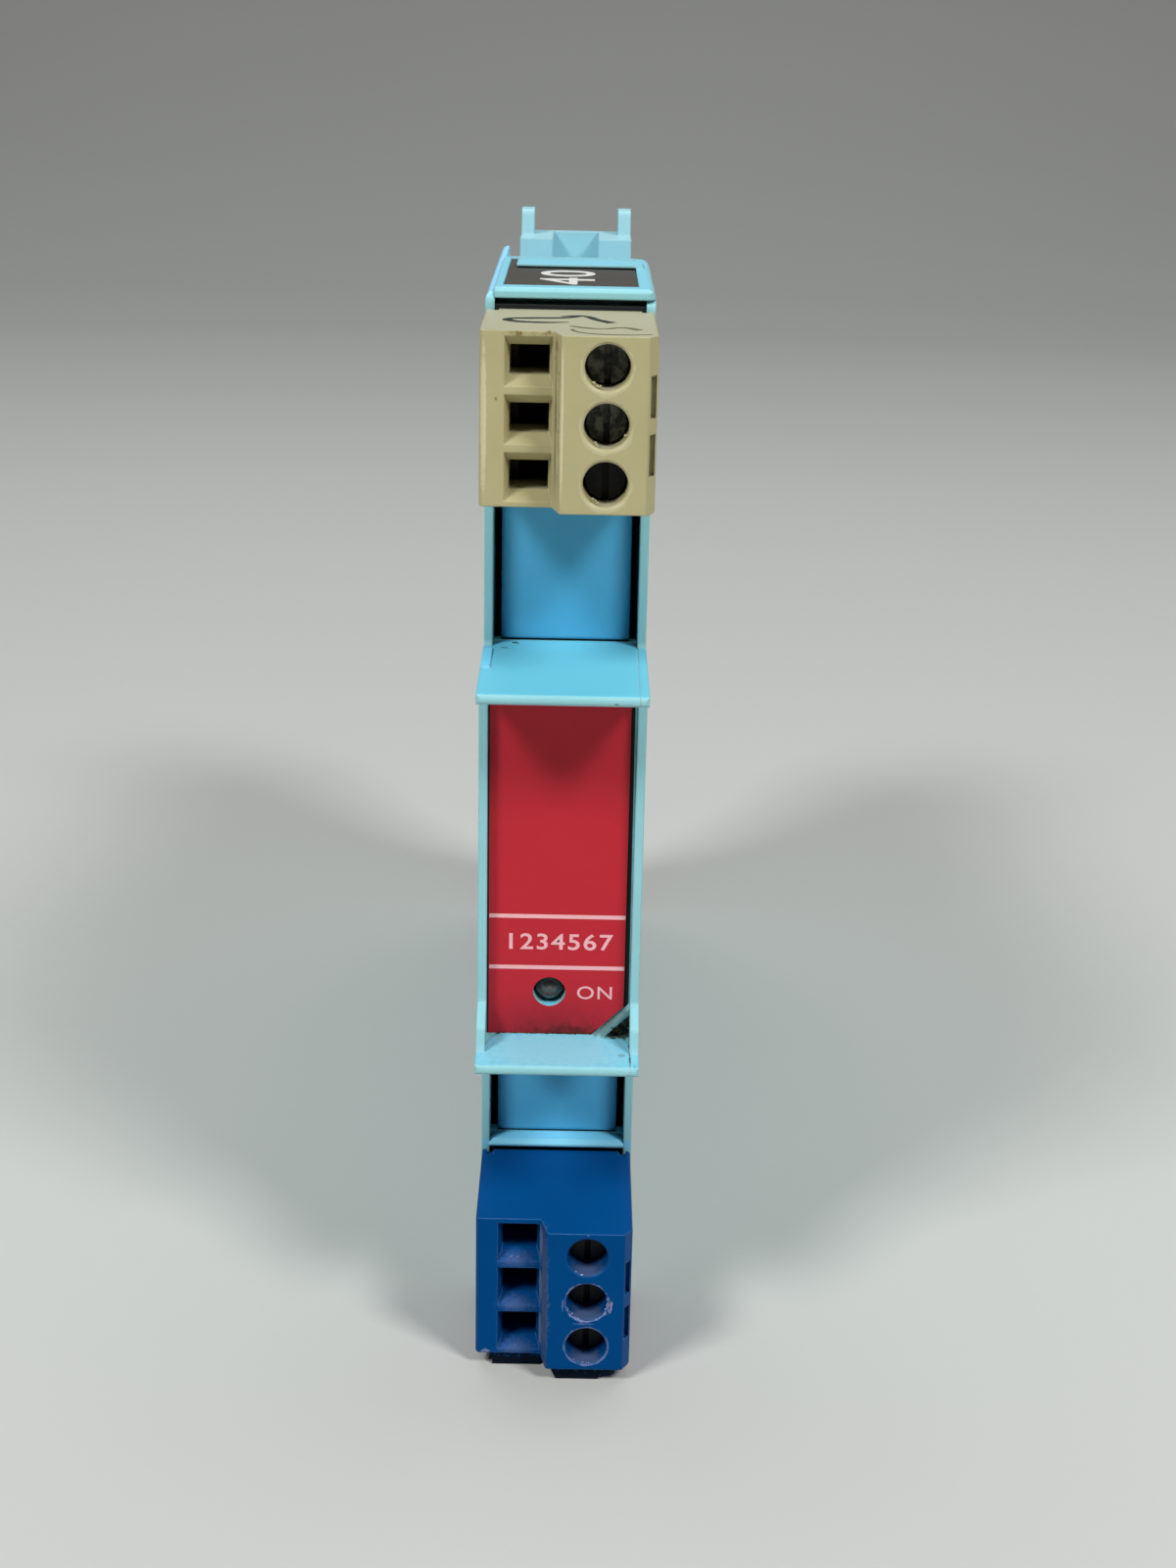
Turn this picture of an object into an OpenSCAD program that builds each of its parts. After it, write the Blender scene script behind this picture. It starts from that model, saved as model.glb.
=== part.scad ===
// Loop-powered driver for a 35 mm rail: a slim moulded case that stands on its lower end, two pull-off
// terminal plugs on its front, a labelled front panel between two ledges, a tag holder on top and a sprung
// latch at the rear. Inside the modules y runs back from the terminal faces and z up from mid height.

/* [Case] */
// Width of the case along the rail
case_w = 15.8; // [15.6:0.1:18]
// Height of the case
case_h = 106; // [105:0.5:112]
// Depth from the terminal faces to the rear of the rail foot
case_d = 122; // [120:1:132]
// Thickness of the base wall and of the cover
side_t = 0.85; // [0.8:0.05:1.2]
// Thickness of the walls round the edge
shell_t = 1.2; // [1:0.05:1.5]
// Front edges of the side walls, behind the terminal faces
bay_y = 17.2; // [17.2:0.1:18]
// Depth of the deck behind the hood, below the top of the case
deck_drop = 8; // [7:0.5:9]
// Rear end of the hood that carries the tag
hood_y = 44; // [42:0.5:48]
// Rear end of the fin on the base wall
fin_y = 58.6; // [54:0.5:64]
// Rounding of the outer corners
corner_r = 1.0; // [0.4:0.1:1.4]
// Diameter of the pegs that carry the circuit board
peg_d = 1.6; // [1.2:0.1:2]

/* [Front panel] */
// Front edges of the ledges, behind the terminal faces
ledge_y = 0.6; // [0.2:0.1:1.5]
// Outer face of each ledge from mid height
ledge_z = 19.1; // [18.4:0.1:19.6]
// Thickness of the ledges
ledge_t = 1.0; // [0.8:0.1:1.4]
// Front edges of the side walls beside the label
panel_y = 7.0; // [6:0.1:7.6]
// Face of the label
label_y = 8.0; // [7.8:0.1:8.6]
// Thickness of the label
label_t = 0.3; // [0.2:0.05:0.5]
// Side of the corner that is cut off the label
label_cut = 3.1; // [2:0.1:4]
// Gap between the label and the cover
label_gap = 0.6; // [0.3:0.05:0.8]
// Reach of the shoulders that join the side walls to the lower ledge
shoulder = 3.8; // [3:0.1:5]
// Sideways place of the status lamp
lamp_x = -0.9; // [-2:0.1:1]
// Height of the status lamp below mid height
lamp_z = -13.6; // [-14:0.1:-10]
// Diameter of the status lamp
lamp_d = 3.0; // [2.8:0.1:3.4]
// Floor of the empty plug bays, behind the terminal faces
floor_y = 19.2; // [18.6:0.1:20]
// Thickness of the shelf between a bay and its plug
shelf_t = 0.65; // [0.6:0.05:1]
// Gap on each side of the blank that fills a bay
blank_gap = 0.75; // [0.5:0.05:1.2]

/* [Plugs] */
// Spacing of the terminals
pitch = 5.08; // [5:0.02:5.1]
// Distance of each plug's middle from its end of the case
plug_inset = 9.3; // [9.1:0.05:9.5]
// Wall past the outer terminals at each end of a plug
plug_end = 0.13; // [0.1:0.01:0.2]
// Width of a plug
plug_w = 15.6; // [15.2:0.1:15.7]
// Gap between a plug and the front edges of the side walls
plug_gap = 0.3; // [0.2:0.05:0.5]
// How far the wire face is set back from the screw face
wire_step = 2.7; // [2.2:0.1:3.2]
// Left edge of the screw face
step_x = -0.6; // [-0.8:0.1:-0.2]
// Width of the bevel beside the screw face
bevel_w = 0.8; // [0.4:0.1:1.2]
// Depth of the bevel beside the screw face
bevel_d = 1.2; // [0.6:0.1:1.6]
// Sideways place of the wire funnels
wire_x = -3.43; // [-3.6:0.05:-3.3]
// Width of a wire funnel at the face
funnel_w = 4.35; // [4:0.05:4.4]
// Height of a wire funnel at the face
funnel_h = 4.4; // [4:0.05:4.6]
// Width of the throat behind a funnel
throat_w = 3.5; // [3:0.1:3.7]
// Height of the throat behind a funnel
throat_h = 2.6; // [2.2:0.1:3.2]
// Depth of a funnel
funnel_d = 1.4; // [1:0.1:2]
// Length of the nose that enters the header
nose_l = 8.0; // [7:0.1:8.4]
// Height of the key ribs under the hazard plug
key_h = 1.45; // [1:0.05:1.5]

/* [Terminal clamps] */
// Sideways place of the terminal screws
screw_x = 3.4; // [3.2:0.05:3.5]
// Diameter of a screw head
head_d = 3.9; // [3.4:0.1:3.9]
// Height of a screw head
head_h = 1.95; // [1.6:0.05:2.2]
// Depth of a screw head's front in its hole
head_y = 2.5; // [2:0.1:2.8]
// Thickness of the web between the screw heads and the clamp chambers
web_t = 3.5; // [3:0.1:3.8]
// Width of the screwdriver slot
slot_w = 0.6; // [0.5:0.05:0.8]
// Thread diameter of a terminal screw
thread_d = 2.5; // [2.2:0.05:2.6]
// Running clearance round screws, on the radius
run_gap = 0.05; // [0.03:0.01:0.08]
// Travel of a clamp nut from open to closed
nut_travel = 1.5; // [1:0.1:1.5]
// Thickness of a clamp nut
nut_t = 1.75; // [1.4:0.05:1.8]
// Height of the clamp nuts and levers
clamp_h = 3.8; // [3.4:0.1:3.9]
// Thickness of a clamp lever's fork
fork_t = 0.9; // [0.7:0.05:1]
// Width of a header pin
pin_w = 1.0; // [0.8:0.05:1.1]

/* [Rail foot] */
// Width of the rail
rail_w = 35; // [35:0.1:35.4]
// Thickness of the rail's lips
rail_t = 1.0; // [1:0.1:1.5]
// Depth of the foot behind the face that seats on the rail
foot_d = 4.4; // [4.4:0.1:5]
// Overlap of each hook behind the rail
hook_over = 1.3; // [1:0.1:1.8]
// Free travel of the latch when it is pulled down
latch_travel = 2.5; // [2:0.1:2.6]
// Height of the latch's lower end above the bottom of the case
latch_clear = 2.8; // [2.8:0.1:4]
// Diameter of the latch spring's wire
spring_wire = 0.5; // [0.4:0.05:0.6]
// Mean diameter of the latch spring
spring_d = 2.4; // [2.2:0.1:2.6]
// Length of the latch spring at rest
spring_l = 9; // [8:0.5:9.5]
// Turns of the latch spring
spring_turns = 6; // [4:1:7]

/* [Tag] */
// Thickness of the holder's plate
holder_t = 0.6; // [0.5:0.05:0.8]
// Height of the rims round the tag
rim_h = 0.35; // [0.3:0.05:0.6]
// Distance of the tag's long edges from the inner faces of the case
tag_side = 0.8; // [0.6:0.05:0.9]
// Length of the holder behind the tag
tag_end = 0.9; // [0.8:0.1:2]
// Thickness of the tag
tag_t = 0.2; // [0.15:0.05:0.25]

/* [Bus socket] */
// Front of the socket
bus_y = 97; // [94:0.5:99]
// Length of the socket
bus_l = 11.5; // [11:0.5:13]
// Height of the ears above the deck
ear_h = 8; // [7:0.5:9.5]
// Height of the blocks above the deck
block_h = 5; // [4.5:0.1:5.5]
// Clear width between the blocks
bus_gap = 5.8; // [5.2:0.1:6.6]

/* [Electronics] */
// Thickness of the circuit board
board_t = 1.6; // [1.4:0.1:1.7]
// Height of the board above the base wall
board_x = 2.3; // [2.1:0.1:2.5]
// Front edge of the board
board_y = 29; // [28.5:0.5:29.5]
// Length of the transformer's core
core_l = 17; // [15:0.5:18]
// Height of the transformer's core
core_h = 15; // [14:0.5:17]
// Length of the electrolytic capacitors
can_l = 11.5; // [10:0.5:12.5]
// Length of the film capacitors
film_l = 7.2; // [6:0.1:8]
// Length of the power resistors
resistor_l = 8.5; // [7:0.1:9]
// Length of the shunt diodes
diode_l = 5.2; // [4.4:0.1:6]
// Length of the fuse
fuse_l = 14; // [12:0.5:15]
// Length of the small chips
chip_l = 8.6; // [8:0.1:9]
// Width of the output transistor
transistor_w = 10; // [9:0.1:10.5]

/* [Hidden] */
$fn = 32;
tiny = 0.01;
fit = 0.1;
poles = 3;
hw = case_w / 2;
hh = case_h / 2;
inner_w = case_w - 2 * side_t;
hi = inner_w / 2;
deck_z = hh - deck_drop;
plug_z = hh - plug_inset;
plug_h = poles * pitch + 2 * plug_end;
plug_back = bay_y - plug_gap;
nose_flange = 0.9;
nose_half = plug_w / 2 - 1.2;
nose_h = 2 * pitch + 4.04;
knuckle_r = 0.75;
foot_h = 0.25;
bus_peg_x = 4;
bus_peg_y = 5.5;
bay_gap = 0.35;
shelf_z = plug_z - plug_h / 2 - bay_gap;
shelf_y = bay_y - 0.2;
ledge_r = 0.42 * ledge_t;
hood_z = hh - holder_t;
header_top = hood_z - 0.6;
wall_y = label_y + label_t;
seat_y = case_d - foot_d;
lip_end = rail_w / 2 + 0.4;
hook_z = rail_w / 2 - hook_over;
hook_y = seat_y + rail_t + 0.4;
rear_y = case_d - 8;
blank_w = inner_w - 2 * blank_gap;
tag_w = inner_w - 2 * tag_side;
tag_y = bay_y + 2.4;
tag_l = hood_y - tag_end - tag_y;

latch_top = -hook_z;
latch_bottom = latch_clear - hh;
latch_l = latch_top - latch_bottom;
spring_low = latch_bottom + 7.2;
spring_high = spring_low + spring_l;
guide_low = spring_high + 1.5;
guide_high = guide_low + 0.176 * latch_l;

web_y = head_y + head_h + run_gap;
chamber_y = web_y + web_t;
chamber_left = -5.3;
chamber_right = 5.4;
chamber_h = clamp_h + 0.4;
block_y = plug_back - nose_flange;
pivot_x = 0.2;
pivot_y = chamber_y + nut_travel + 2.85;
arm_l = nut_travel + 2.35;
fork_y = pivot_y + fork_t / 2;

board_front = -hi + board_x + board_t;
board_end = seat_y - shell_t - 4;
board_low = shell_t - hh + 1.5;
board_high = header_top - 1.5;
room = hi - board_front;
core_x = room - 2.9;
core_y = board_y + 0.39 * (board_end - board_y);
core_mid = core_y + core_l / 2;
pegs = [
    [board_y + 7, 0.57 * hh],
    [board_y + 7, -0.57 * hh],
    [board_end - 8.4, 0.64 * hh],
    [board_end - 8.4, -0.76 * hh]
];
hooks = [
    [0.43 * case_d, deck_z - shell_t, 1],
    [0.75 * case_d, deck_z - shell_t, 1],
    [0.33 * case_d, shell_t - hh, -1],
    [0.8 * case_d, shell_t - hh, -1]
];

case_colour = [0.56, 0.80, 0.82];
blank_colour = [0.27, 0.56, 0.76];
beige = [0.77, 0.73, 0.56];
deep_blue = [0.02, 0.24, 0.50];
crimson = [0.72, 0.14, 0.20];
black = [0.08, 0.08, 0.09];
steel = [0.70, 0.71, 0.72];
copper = [0.74, 0.42, 0.24];

// The row frame has its origin under the middle of the part
module place() { translate([0, -case_d / 2, hh]) children(); }

// A box between two opposite corners
module box(low, high) { translate(low) cube(high - low); }

// Extrudes a profile drawn in y and z from x0 over a width
module across(x0, width) { translate([x0, 0, 0]) rotate([90, 0, 90]) linear_extrude(width) children(); }

// Extrudes a plan drawn in x and y from z0 over a height
module upward(z0, height) { translate([0, 0, z0]) linear_extrude(height) children(); }

// Extrudes an elevation drawn in x and z forward from y1 over a depth
module forward(y1, depth) { translate([0, y1, 0]) rotate([90, 0, 0]) linear_extrude(depth) children(); }

// A cylinder whose axis runs back from y0
module rod(x, y0, z, radius, length) {
    translate([x, y0, z]) rotate([-90, 0, 0]) cylinder(r = radius, h = length);
}

// A bevelled cone whose axis runs back from y0
module cone(x, y0, z, r1, r2, length) {
    translate([x, y0, z]) rotate([-90, 0, 0]) cylinder(r1 = r1, r2 = r2, h = length);
}

// Points of an outline whose corners are rounded: each entry holds two coordinates and a radius
function arc_corner(a, b, c, r) =
    let (u = (a - b) / norm(a - b), v = (c - b) / norm(c - b), half = acos(u * v) / 2,
         centre = b + (u + v) / norm(u + v) * r / sin(half),
         p = b + u * r / tan(half) - centre, q = b + v * r / tan(half) - centre,
         start = atan2(p.y, p.x), sweep = atan2(p.x * q.y - p.y * q.x, p * q))
    [for (k = [0:4]) centre + r * [cos(start + sweep * k / 4), sin(start + sweep * k / 4)]];
function flat_point(p) = [p[0], p[1]];
function rounded(list) =
    let (n = len(list))
    [for (i = [0:n - 1])
        let (before = flat_point(list[(i + n - 1) % n]),
             at = flat_point(list[i]),
             after = flat_point(list[(i + 1) % n]))
        each (list[i][2] == 0 ? [at] : arc_corner(before, at, after, list[i][2]))];

// Lower front of the case: bay, ledge, shoulder and panel edge, then the upper ledge
function front_points() = [
    [bay_y, -ledge_z, 0.6],
    [ledge_y, -ledge_z, ledge_r],
    [ledge_y, ledge_t - ledge_z, ledge_r],
    [panel_y - 0.87 * shoulder, ledge_t - ledge_z, 0],
    [panel_y - 0.66 * shoulder, ledge_t - ledge_z + 0.58 * shoulder, 0.9],
    [panel_y, ledge_t - ledge_z + shoulder, 0.5],
    [panel_y, ledge_z - ledge_t, 0.3],
    [ledge_y, ledge_z - ledge_t, ledge_r],
    [ledge_y, ledge_z, ledge_r],
    [bay_y, ledge_z, 0.6]
];

// Outline of a side wall, whose top edge ends at end_y
function side_points(top_z, end_y) = concat([
    [bay_y, top_z, corner_r],
    [end_y, top_z, corner_r],
    [end_y + 3, deck_z, 0.8],
    [rear_y, deck_z, corner_r],
    [case_d, deck_z - 8, corner_r],
    [case_d, hook_z, 0.3],
    [hook_y, hook_z, 0.3],
    [hook_y, lip_end, 0],
    [seat_y, lip_end, 0],
    [seat_y, -lip_end, 0],
    [case_d, -lip_end, 0.4],
    [case_d, 3 - hh, corner_r],
    [case_d - 3, -hh, corner_r],
    [bay_y, -hh, corner_r]
], front_points());

// Outline of the walls between the two sides, with the front wall that carries the label
function edge_points() = [
    [bay_y + 2.8, hood_z, 0],
    [hood_y, hood_z, 0.4],
    [hood_y, deck_z, 0],
    [rear_y, deck_z, corner_r],
    [case_d, deck_z - 8, corner_r],
    [case_d, hook_z, 0.3],
    [hook_y, hook_z, 0.3],
    [hook_y, lip_end, 0],
    [seat_y, lip_end, 0],
    [seat_y, -hh, 0],
    [bay_y, -hh, corner_r],
    [bay_y, -ledge_z, 0],
    [ledge_y, -ledge_z, ledge_r],
    [ledge_y, ledge_t - ledge_z, ledge_r],
    [wall_y, ledge_t - ledge_z, 0],
    [wall_y, ledge_z - ledge_t, 0],
    [ledge_y, ledge_z - ledge_t, ledge_r],
    [ledge_y, ledge_z, ledge_r],
    [bay_y + 2.8, ledge_z, 0]
];

// Outline of the hollow inside the case
function hollow_points() = [
    [bay_y - 1, header_top, 0],
    [hood_y - shell_t, header_top, 0],
    [hood_y - shell_t, deck_z - shell_t, 0],
    [rear_y - 0.5, deck_z - shell_t, 0],
    [case_d - shell_t, deck_z - 8 - 0.5, 0],
    [case_d - shell_t, lip_end + 2.5, 0],
    [seat_y - shell_t, lip_end + 2.5, 0],
    [seat_y - shell_t, shell_t - hh, 0],
    [bay_y - 1, shell_t - hh, 0],
    [bay_y - 1, -ledge_z, 0],
    [bay_y, -ledge_z, 0],
    [bay_y, ledge_t - ledge_z, 0],
    [wall_y + shell_t, ledge_t - ledge_z, 0],
    [wall_y + shell_t, ledge_z - ledge_t, 0],
    [bay_y, ledge_z - ledge_t, 0],
    [bay_y, ledge_z, 0],
    [bay_y - 1, ledge_z, 0]
];

// Profile of a shelf at the far end of a bay, its front bevelled on the bay's side
function shelf_points(s) = [
    [floor_y + 1.4, s * shelf_z],
    [shelf_y, s * shelf_z],
    [shelf_y, s * (shelf_z - 0.4 * shelf_t)],
    [shelf_y + 0.9 * shelf_t, s * (shelf_z - shelf_t)],
    [floor_y + 1.4, s * (shelf_z - shelf_t)]
];

module case_base() {
    back = floor_y + 1.4;
    color(case_colour) place() {
        difference() {
            union() {
                across(-hw, side_t) polygon(rounded(side_points(hh, fin_y)));
                across(-hi, inner_w) difference() {
                    polygon(rounded(edge_points()));
                    polygon(rounded(hollow_points()));
                }
                lamp_boss();
                for (s = [-1, 1]) {
                    ledge_root = s * (ledge_z - ledge_t / 2) - ledge_t / 2;
                    box([-hi, bay_y - tiny, ledge_root], [hi, back, ledge_root + ledge_t]);
                    across(-hi, inner_w) polygon(shelf_points(s));
                }
                label_ridge();
                fin_gusset();
                ledge_tab();
                board_pegs();
                latch_rail();
            }
            rod(lamp_x, label_y - 1, lamp_z, lamp_d / 2 + 0.1, 8);
            for (h = hooks) hook_recess(h);
            for (s = [-1, 1]) plate_notches(s);
            edge_round(-hw, hh, -1, fin_y + 2);
            for (z = [-ledge_z, ledge_z - ledge_t]) front_round(-hw, -1, z);
            for (s = [-1, 1]) translate([s * bus_peg_x, bus_y + bus_peg_y, 0])
                box([-1.25, -1.25, deck_z - 2], [1.25, 1.25, deck_z + 1]);
        }
    }
}

// Tube behind the front wall that the lamp's collar rests on
module lamp_boss() { rod(lamp_x, wall_y + shell_t - tiny, lamp_z, lamp_d / 2 + 1, 3.6); }

// Rounded-off rear corner of a plate, cut away where a side wall meets the wall behind
module corner_notch(side, y1, wide, deep, z0, height) {
    upward(z0, height) polygon(concat(
        [for (a = [0:15:90]) [side * (hi - wide * (1 - cos(a))), y1 - deep * (1 - sin(a))]],
        [[side * (hi + tiny), y1], [side * (hi + tiny), y1 - deep]]));
}

// Notches of one side in the two ledges and the two shelves
module plate_notches(side) {
    corner_notch(side, label_y, 1.9, 3, -ledge_z - 1, ledge_t + 1);
    corner_notch(side, floor_y, 1.5, 2, ledge_z - tiny - ledge_t / 2, ledge_t);
    corner_notch(side, floor_y, 2.6, 1.9, -shelf_z - tiny, shelf_t + 2 * tiny);
}

// Rounds the top outer corner of the hood along y
module edge_round(x, z, side, y1) {
    r = 0.8 * corner_r;
    translate([x - side * r, 0, z - r]) difference() {
        box([side < 0 ? -r - 1 : 0, 0, 0], [side < 0 ? 0 : r + 1, y1, r + 1]);
        rod(0, -1, 0, r, y1 + 2);
    }
}

// Rounds the front corner of a ledge seen from above
module front_round(x, side, z) {
    r = 0.45 * ledge_t;
    translate([x - side * r, ledge_y + r, z - 0.1]) difference() {
        box([side < 0 ? -r - 1 : 0, -r - 1, 0], [side < 0 ? 0 : r + 1, 0, ledge_t + 0.2]);
        cylinder(r = r, h = ledge_t + 1);
    }
}

// Ridge along the cut corner of the label
module label_ridge() {
    inset = label_cut - 0.75;
    intersection() {
        translate([hi - label_gap, 0, ledge_t - ledge_z])
            rotate([0, 45, 0])
            translate([-inset / sqrt(2), 0, 0])
            box([-0.3, wall_y - 1, -4], [0.3, wall_y + tiny, 4]);
        box([0, wall_y - 2, ledge_t - ledge_z], [hi, wall_y + tiny, 0]);
    }
}

// Web between the fin and the rear end of the hood
module fin_gusset() {
    across(-hi - tiny, 2.2) polygon([
        [hood_y - tiny, deck_z], [hood_y - tiny, hh - 0.3], [hood_y + 5, hh - 0.3], [hood_y + 8, deck_z]]);
}

// Locating tab of the base wall that shows in the end of the upper ledge
module ledge_tab() { box([-hw, 9.4, ledge_z - tiny], [-hi + 0.1, 15.8, ledge_z + 0.15]); }

// Pillars for the circuit board, each with a locating peg
module board_pegs() {
    for (p = pegs) translate([-hi - tiny, p[0], p[1]]) rotate([0, 90, 0]) {
        cylinder(d = peg_d + 1.6, h = board_x + tiny);
        cylinder(d = peg_d, h = board_x + board_t + 0.4);
    }
}

// T-shaped rail that guides the latch, and the stop under its spring
module latch_rail() {
    y0 = seat_y - tiny;
    box([-1.6, y0, guide_low], [1.6, seat_y + 2.1, guide_high]);
    box([-2.8, seat_y + 2, guide_low], [2.8, seat_y + 2.8, guide_high]);
    box([-1.9, y0, spring_low - 1.5], [1.9, seat_y + 3.4, spring_low]);
}

// Recess in an edge wall for the barb of a cover hook
module hook_recess(h) {
    low = h[2] > 0 ? h[1] - tiny : h[1] - 0.6;
    box([hi - 4.1, h[0] - 2.2, low], [hi - 2.5, h[0] + 2.2, low + 0.6 + tiny]);
}

module case_cover() {
    color(case_colour) place() {
        difference() {
            across(hi, side_t) polygon(rounded(side_points(hood_z, hood_y - 4)));
            for (z = [-ledge_z, ledge_z - ledge_t]) front_round(hw, 1, z);
        }
        for (h = hooks) cover_hook(h);
        for (y = [0.5 * case_d, 0.65 * case_d]) {
            cover_rib(y, deck_z - shell_t - 1.1);
            cover_rib(y - 0.08 * case_d, shell_t - hh + 0.1);
        }
    }
}

// Arm with a barb that snaps into a recess of the base
module cover_hook(h) {
    gap = 0.1;
    arm = h[1] - h[2] * (gap + 0.5);
    box([hi - 4, h[0] - 2, arm - 0.5], [hi + tiny, h[0] + 2, arm + 0.5]);
    across_hook = h[1] + h[2] * (0.4 - gap);
    low = min(across_hook, arm);
    high = max(across_hook, arm);
    box([hi - 4, h[0] - 2, low], [hi - 2.8, h[0] + 2, high]);
}

// Rib that centres the cover on an edge wall
module cover_rib(y, z) { box([hi - 1, y - 6, z], [hi + tiny, y + 6, z + 1]); }

module front_label() {
    low = ledge_t - ledge_z;
    right = hi - label_gap;
    color(crimson) place() difference() {
        forward(wall_y, label_t)
            polygon([
                [-hi, low], [right - label_cut, low], [right, low + label_cut], [right, -low], [-hi, -low]]);
        rod(lamp_x, label_y - 1, lamp_z, lamp_d / 2 + 0.1, 3);
    }
}

module status_lamp() {
    r = lamp_d / 2;
    seat = wall_y + shell_t + 3.6;
    color(black) place() {
        translate([lamp_x, 0, lamp_z]) rotate([-90, 0, 0]) rotate_extrude() polygon(concat(
            [for (a = [0:15:90]) [r * sin(a), seat - 3.1 - r * cos(a)]],
            [[r, seat], [r + 0.4, seat], [r + 0.4, seat + 1], [0, seat + 1]]));
        for (s = [-1, 1]) {
            z = lamp_z + s * 1.27;
            box([lamp_x - 0.25, seat + 1 - tiny, z - 0.25], [lamp_x + 0.25, board_y + 2, z + 0.25]);
            box([board_front, board_y + 1.5, z - 0.25], [lamp_x + 0.25, board_y + 2, z + 0.25]);
        }
    }
}

// Plate that closes an empty bay and stands on two feet
module bay_blank(z0) {
    half = blank_w / 2;
    back = floor_y + 1.4;
    color(blank_colour) place() {
        upward(z0 + foot_h, shelf_z - shelf_t - ledge_z - foot_h)
            polygon(rounded([
                [-half, floor_y, 0.8], [half, floor_y, 0.8], [half, back, 0], [-half, back, 0]]));
        for (s = [-1, 1]) translate([s * half / 2, 0, z0])
            box([-1, floor_y + 0.3, 0], [1, back, 2 * foot_h]);
    }
}

// Shroud that the plug's nose enters, closed at the rear where the pins pass
module header(z) {
    top = header_top - plug_z;
    low = plug_z - shelf_z;
    front = bay_y + 0.4;
    cavity_end = plug_back + nose_l + 0.5;
    color(black) place() translate([0, 0, z]) difference() {
        box([-hi, front, z > 0 ? -low : -top], [hi, cavity_end + 1.6, z > 0 ? top : low]);
        box([-6, front - 1, -7.3], [6, cavity_end, 7.3]);
        for (k = [-1:1]) translate([0, 0, k * pitch])
            box([-pin_w / 2, cavity_end - 1, -pin_w / 2], [pin_w / 2, cavity_end + 3, pin_w / 2]);
    }
}

module header_pins(z) {
    h = pin_w / 2;
    color(steel) place() for (k = [-1:1]) translate([0, 0, z + k * pitch]) {
        box([-h, plug_back + 1.1, -h], [h, board_y + 2, h]);
        box([-hi + board_x - 0.8, board_y + 2 - pin_w, -h], [h, board_y + 2, h]);
    }
}

// Four-sided funnel that narrows from the face to the throat
module wire_funnel() {
    y0 = wire_step - tiny;
    y1 = wire_step + funnel_d;
    intersection() {
        upward(-funnel_h, 2 * funnel_h)
            polygon([[-funnel_w / 2, y0], [funnel_w / 2, y0], [throat_w / 2, y1], [-throat_w / 2, y1]]);
        across(-funnel_w, 2 * funnel_w)
            polygon([[y0, -funnel_h / 2], [y0, funnel_h / 2], [y1, throat_h / 2], [y1, -throat_h / 2]]);
    }
}

// Housing of a plug: wire face on the left, screw face standing forward on the right
module plug_body(z, colour, keyed) {
    hp = plug_w / 2;
    hz = plug_h / 2;
    color(colour) place() translate([0, 0, z]) difference() {
        union() {
            intersection() {
                upward(-hz, plug_h) polygon(rounded([
                    [-hp, wire_step, 0.5], [step_x - 0.7, wire_step, 0.2], [step_x, 0, 0.3],
                    [hp - bevel_w, 0, 0.3], [hp, bevel_d, 0.3], [hp, plug_back, 0], [-hp, plug_back, 0]]));
                forward(plug_back, plug_back)
                    polygon(rounded([[-hp, -hz, 0.2], [hp, -hz, 0.3], [hp, hz, 0.3], [-hp, hz, 0.2]]));
            }
            if (keyed) key_ribs(hz);
        }
        for (k = [-1:1]) translate([0, 0, k * pitch]) pole_cuts();
        for (s = [-1, 1]) code_slots(s * pitch / 2);
        nose_room = [nose_half + fit, 0, nose_h / 2 + fit];
        box([0, block_y, 0] - nose_room, [0, plug_back + 1, 0] + nose_room);
        for (s = [-1, 1], t = [-1, 1]) translate([s * (nose_half + 0.35), 0, t * hz])
            box([-0.35, block_y - 0.1, -0.3], [0.35, plug_back + 1, 0.3]);
    }
}

// Funnel, screw hole and clamp chamber of one pole
module pole_cuts() {
    translate([wire_x, 0, 0]) wire_funnel();
    box([wire_x - throat_w / 2, wire_step + funnel_d - tiny, -throat_h / 2],
        [wire_x + throat_w / 2, chamber_y + 1, throat_h / 2]);
    rod(screw_x, -1, 0, head_d / 2 + run_gap, web_y + 1);
    cone(screw_x, -tiny, 0, head_d / 2 + 0.27, head_d / 2 + run_gap, 0.22);
    rod(screw_x, 0, 0, thread_d / 2 + run_gap, chamber_y + 1);
    box([chamber_left, chamber_y, -chamber_h / 2], [chamber_right, plug_back, chamber_h / 2]);
}

// Coding slots in the bevel and in the step between the two faces
module code_slots(z) {
    box([plug_w / 2 - 0.65, -1, z - 1.85], [plug_w / 2 - 0.15, bevel_d + 0.2, z + 1.85]);
    box([step_x - 0.42, -1, z - 1.9], [step_x - 0.1, wire_step / 2, z + 1.9]);
}

// Two ribs under the hazard plug that carry it off the bench
module key_ribs(hz) {
    low = -hz - key_h;
    box([-6.1, wire_step + 0.3, low], [-1.2, plug_back - 1, -hz + tiny]);
    forward(plug_back - 1, plug_back - 1.6)
        polygon([[0.4, low], [4.7, low], [5.4, tiny - hz], [-0.3, tiny - hz]]);
}

// Nose that guides the pins and closes the chambers from behind
module plug_nose(z) {
    color(black) place() translate([0, 0, z]) difference() {
        union() {
            box([-nose_half, block_y, -nose_h / 2], [nose_half, plug_back, nose_h / 2]);
            box([-5.8, plug_back - tiny, -nose_h / 2], [5.8, plug_back + nose_l, nose_h / 2]);
        }
        for (k = [-1:1]) translate([0, 0, k * pitch]) {
            box([-1.3, block_y - 1, -1.2], [1.3, plug_back + nose_l - 0.9, 1.2]);
            box([-0.7, plug_back, -0.7], [0.7, plug_back + nose_l + 1, 0.7]);
        }
    }
}

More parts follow.
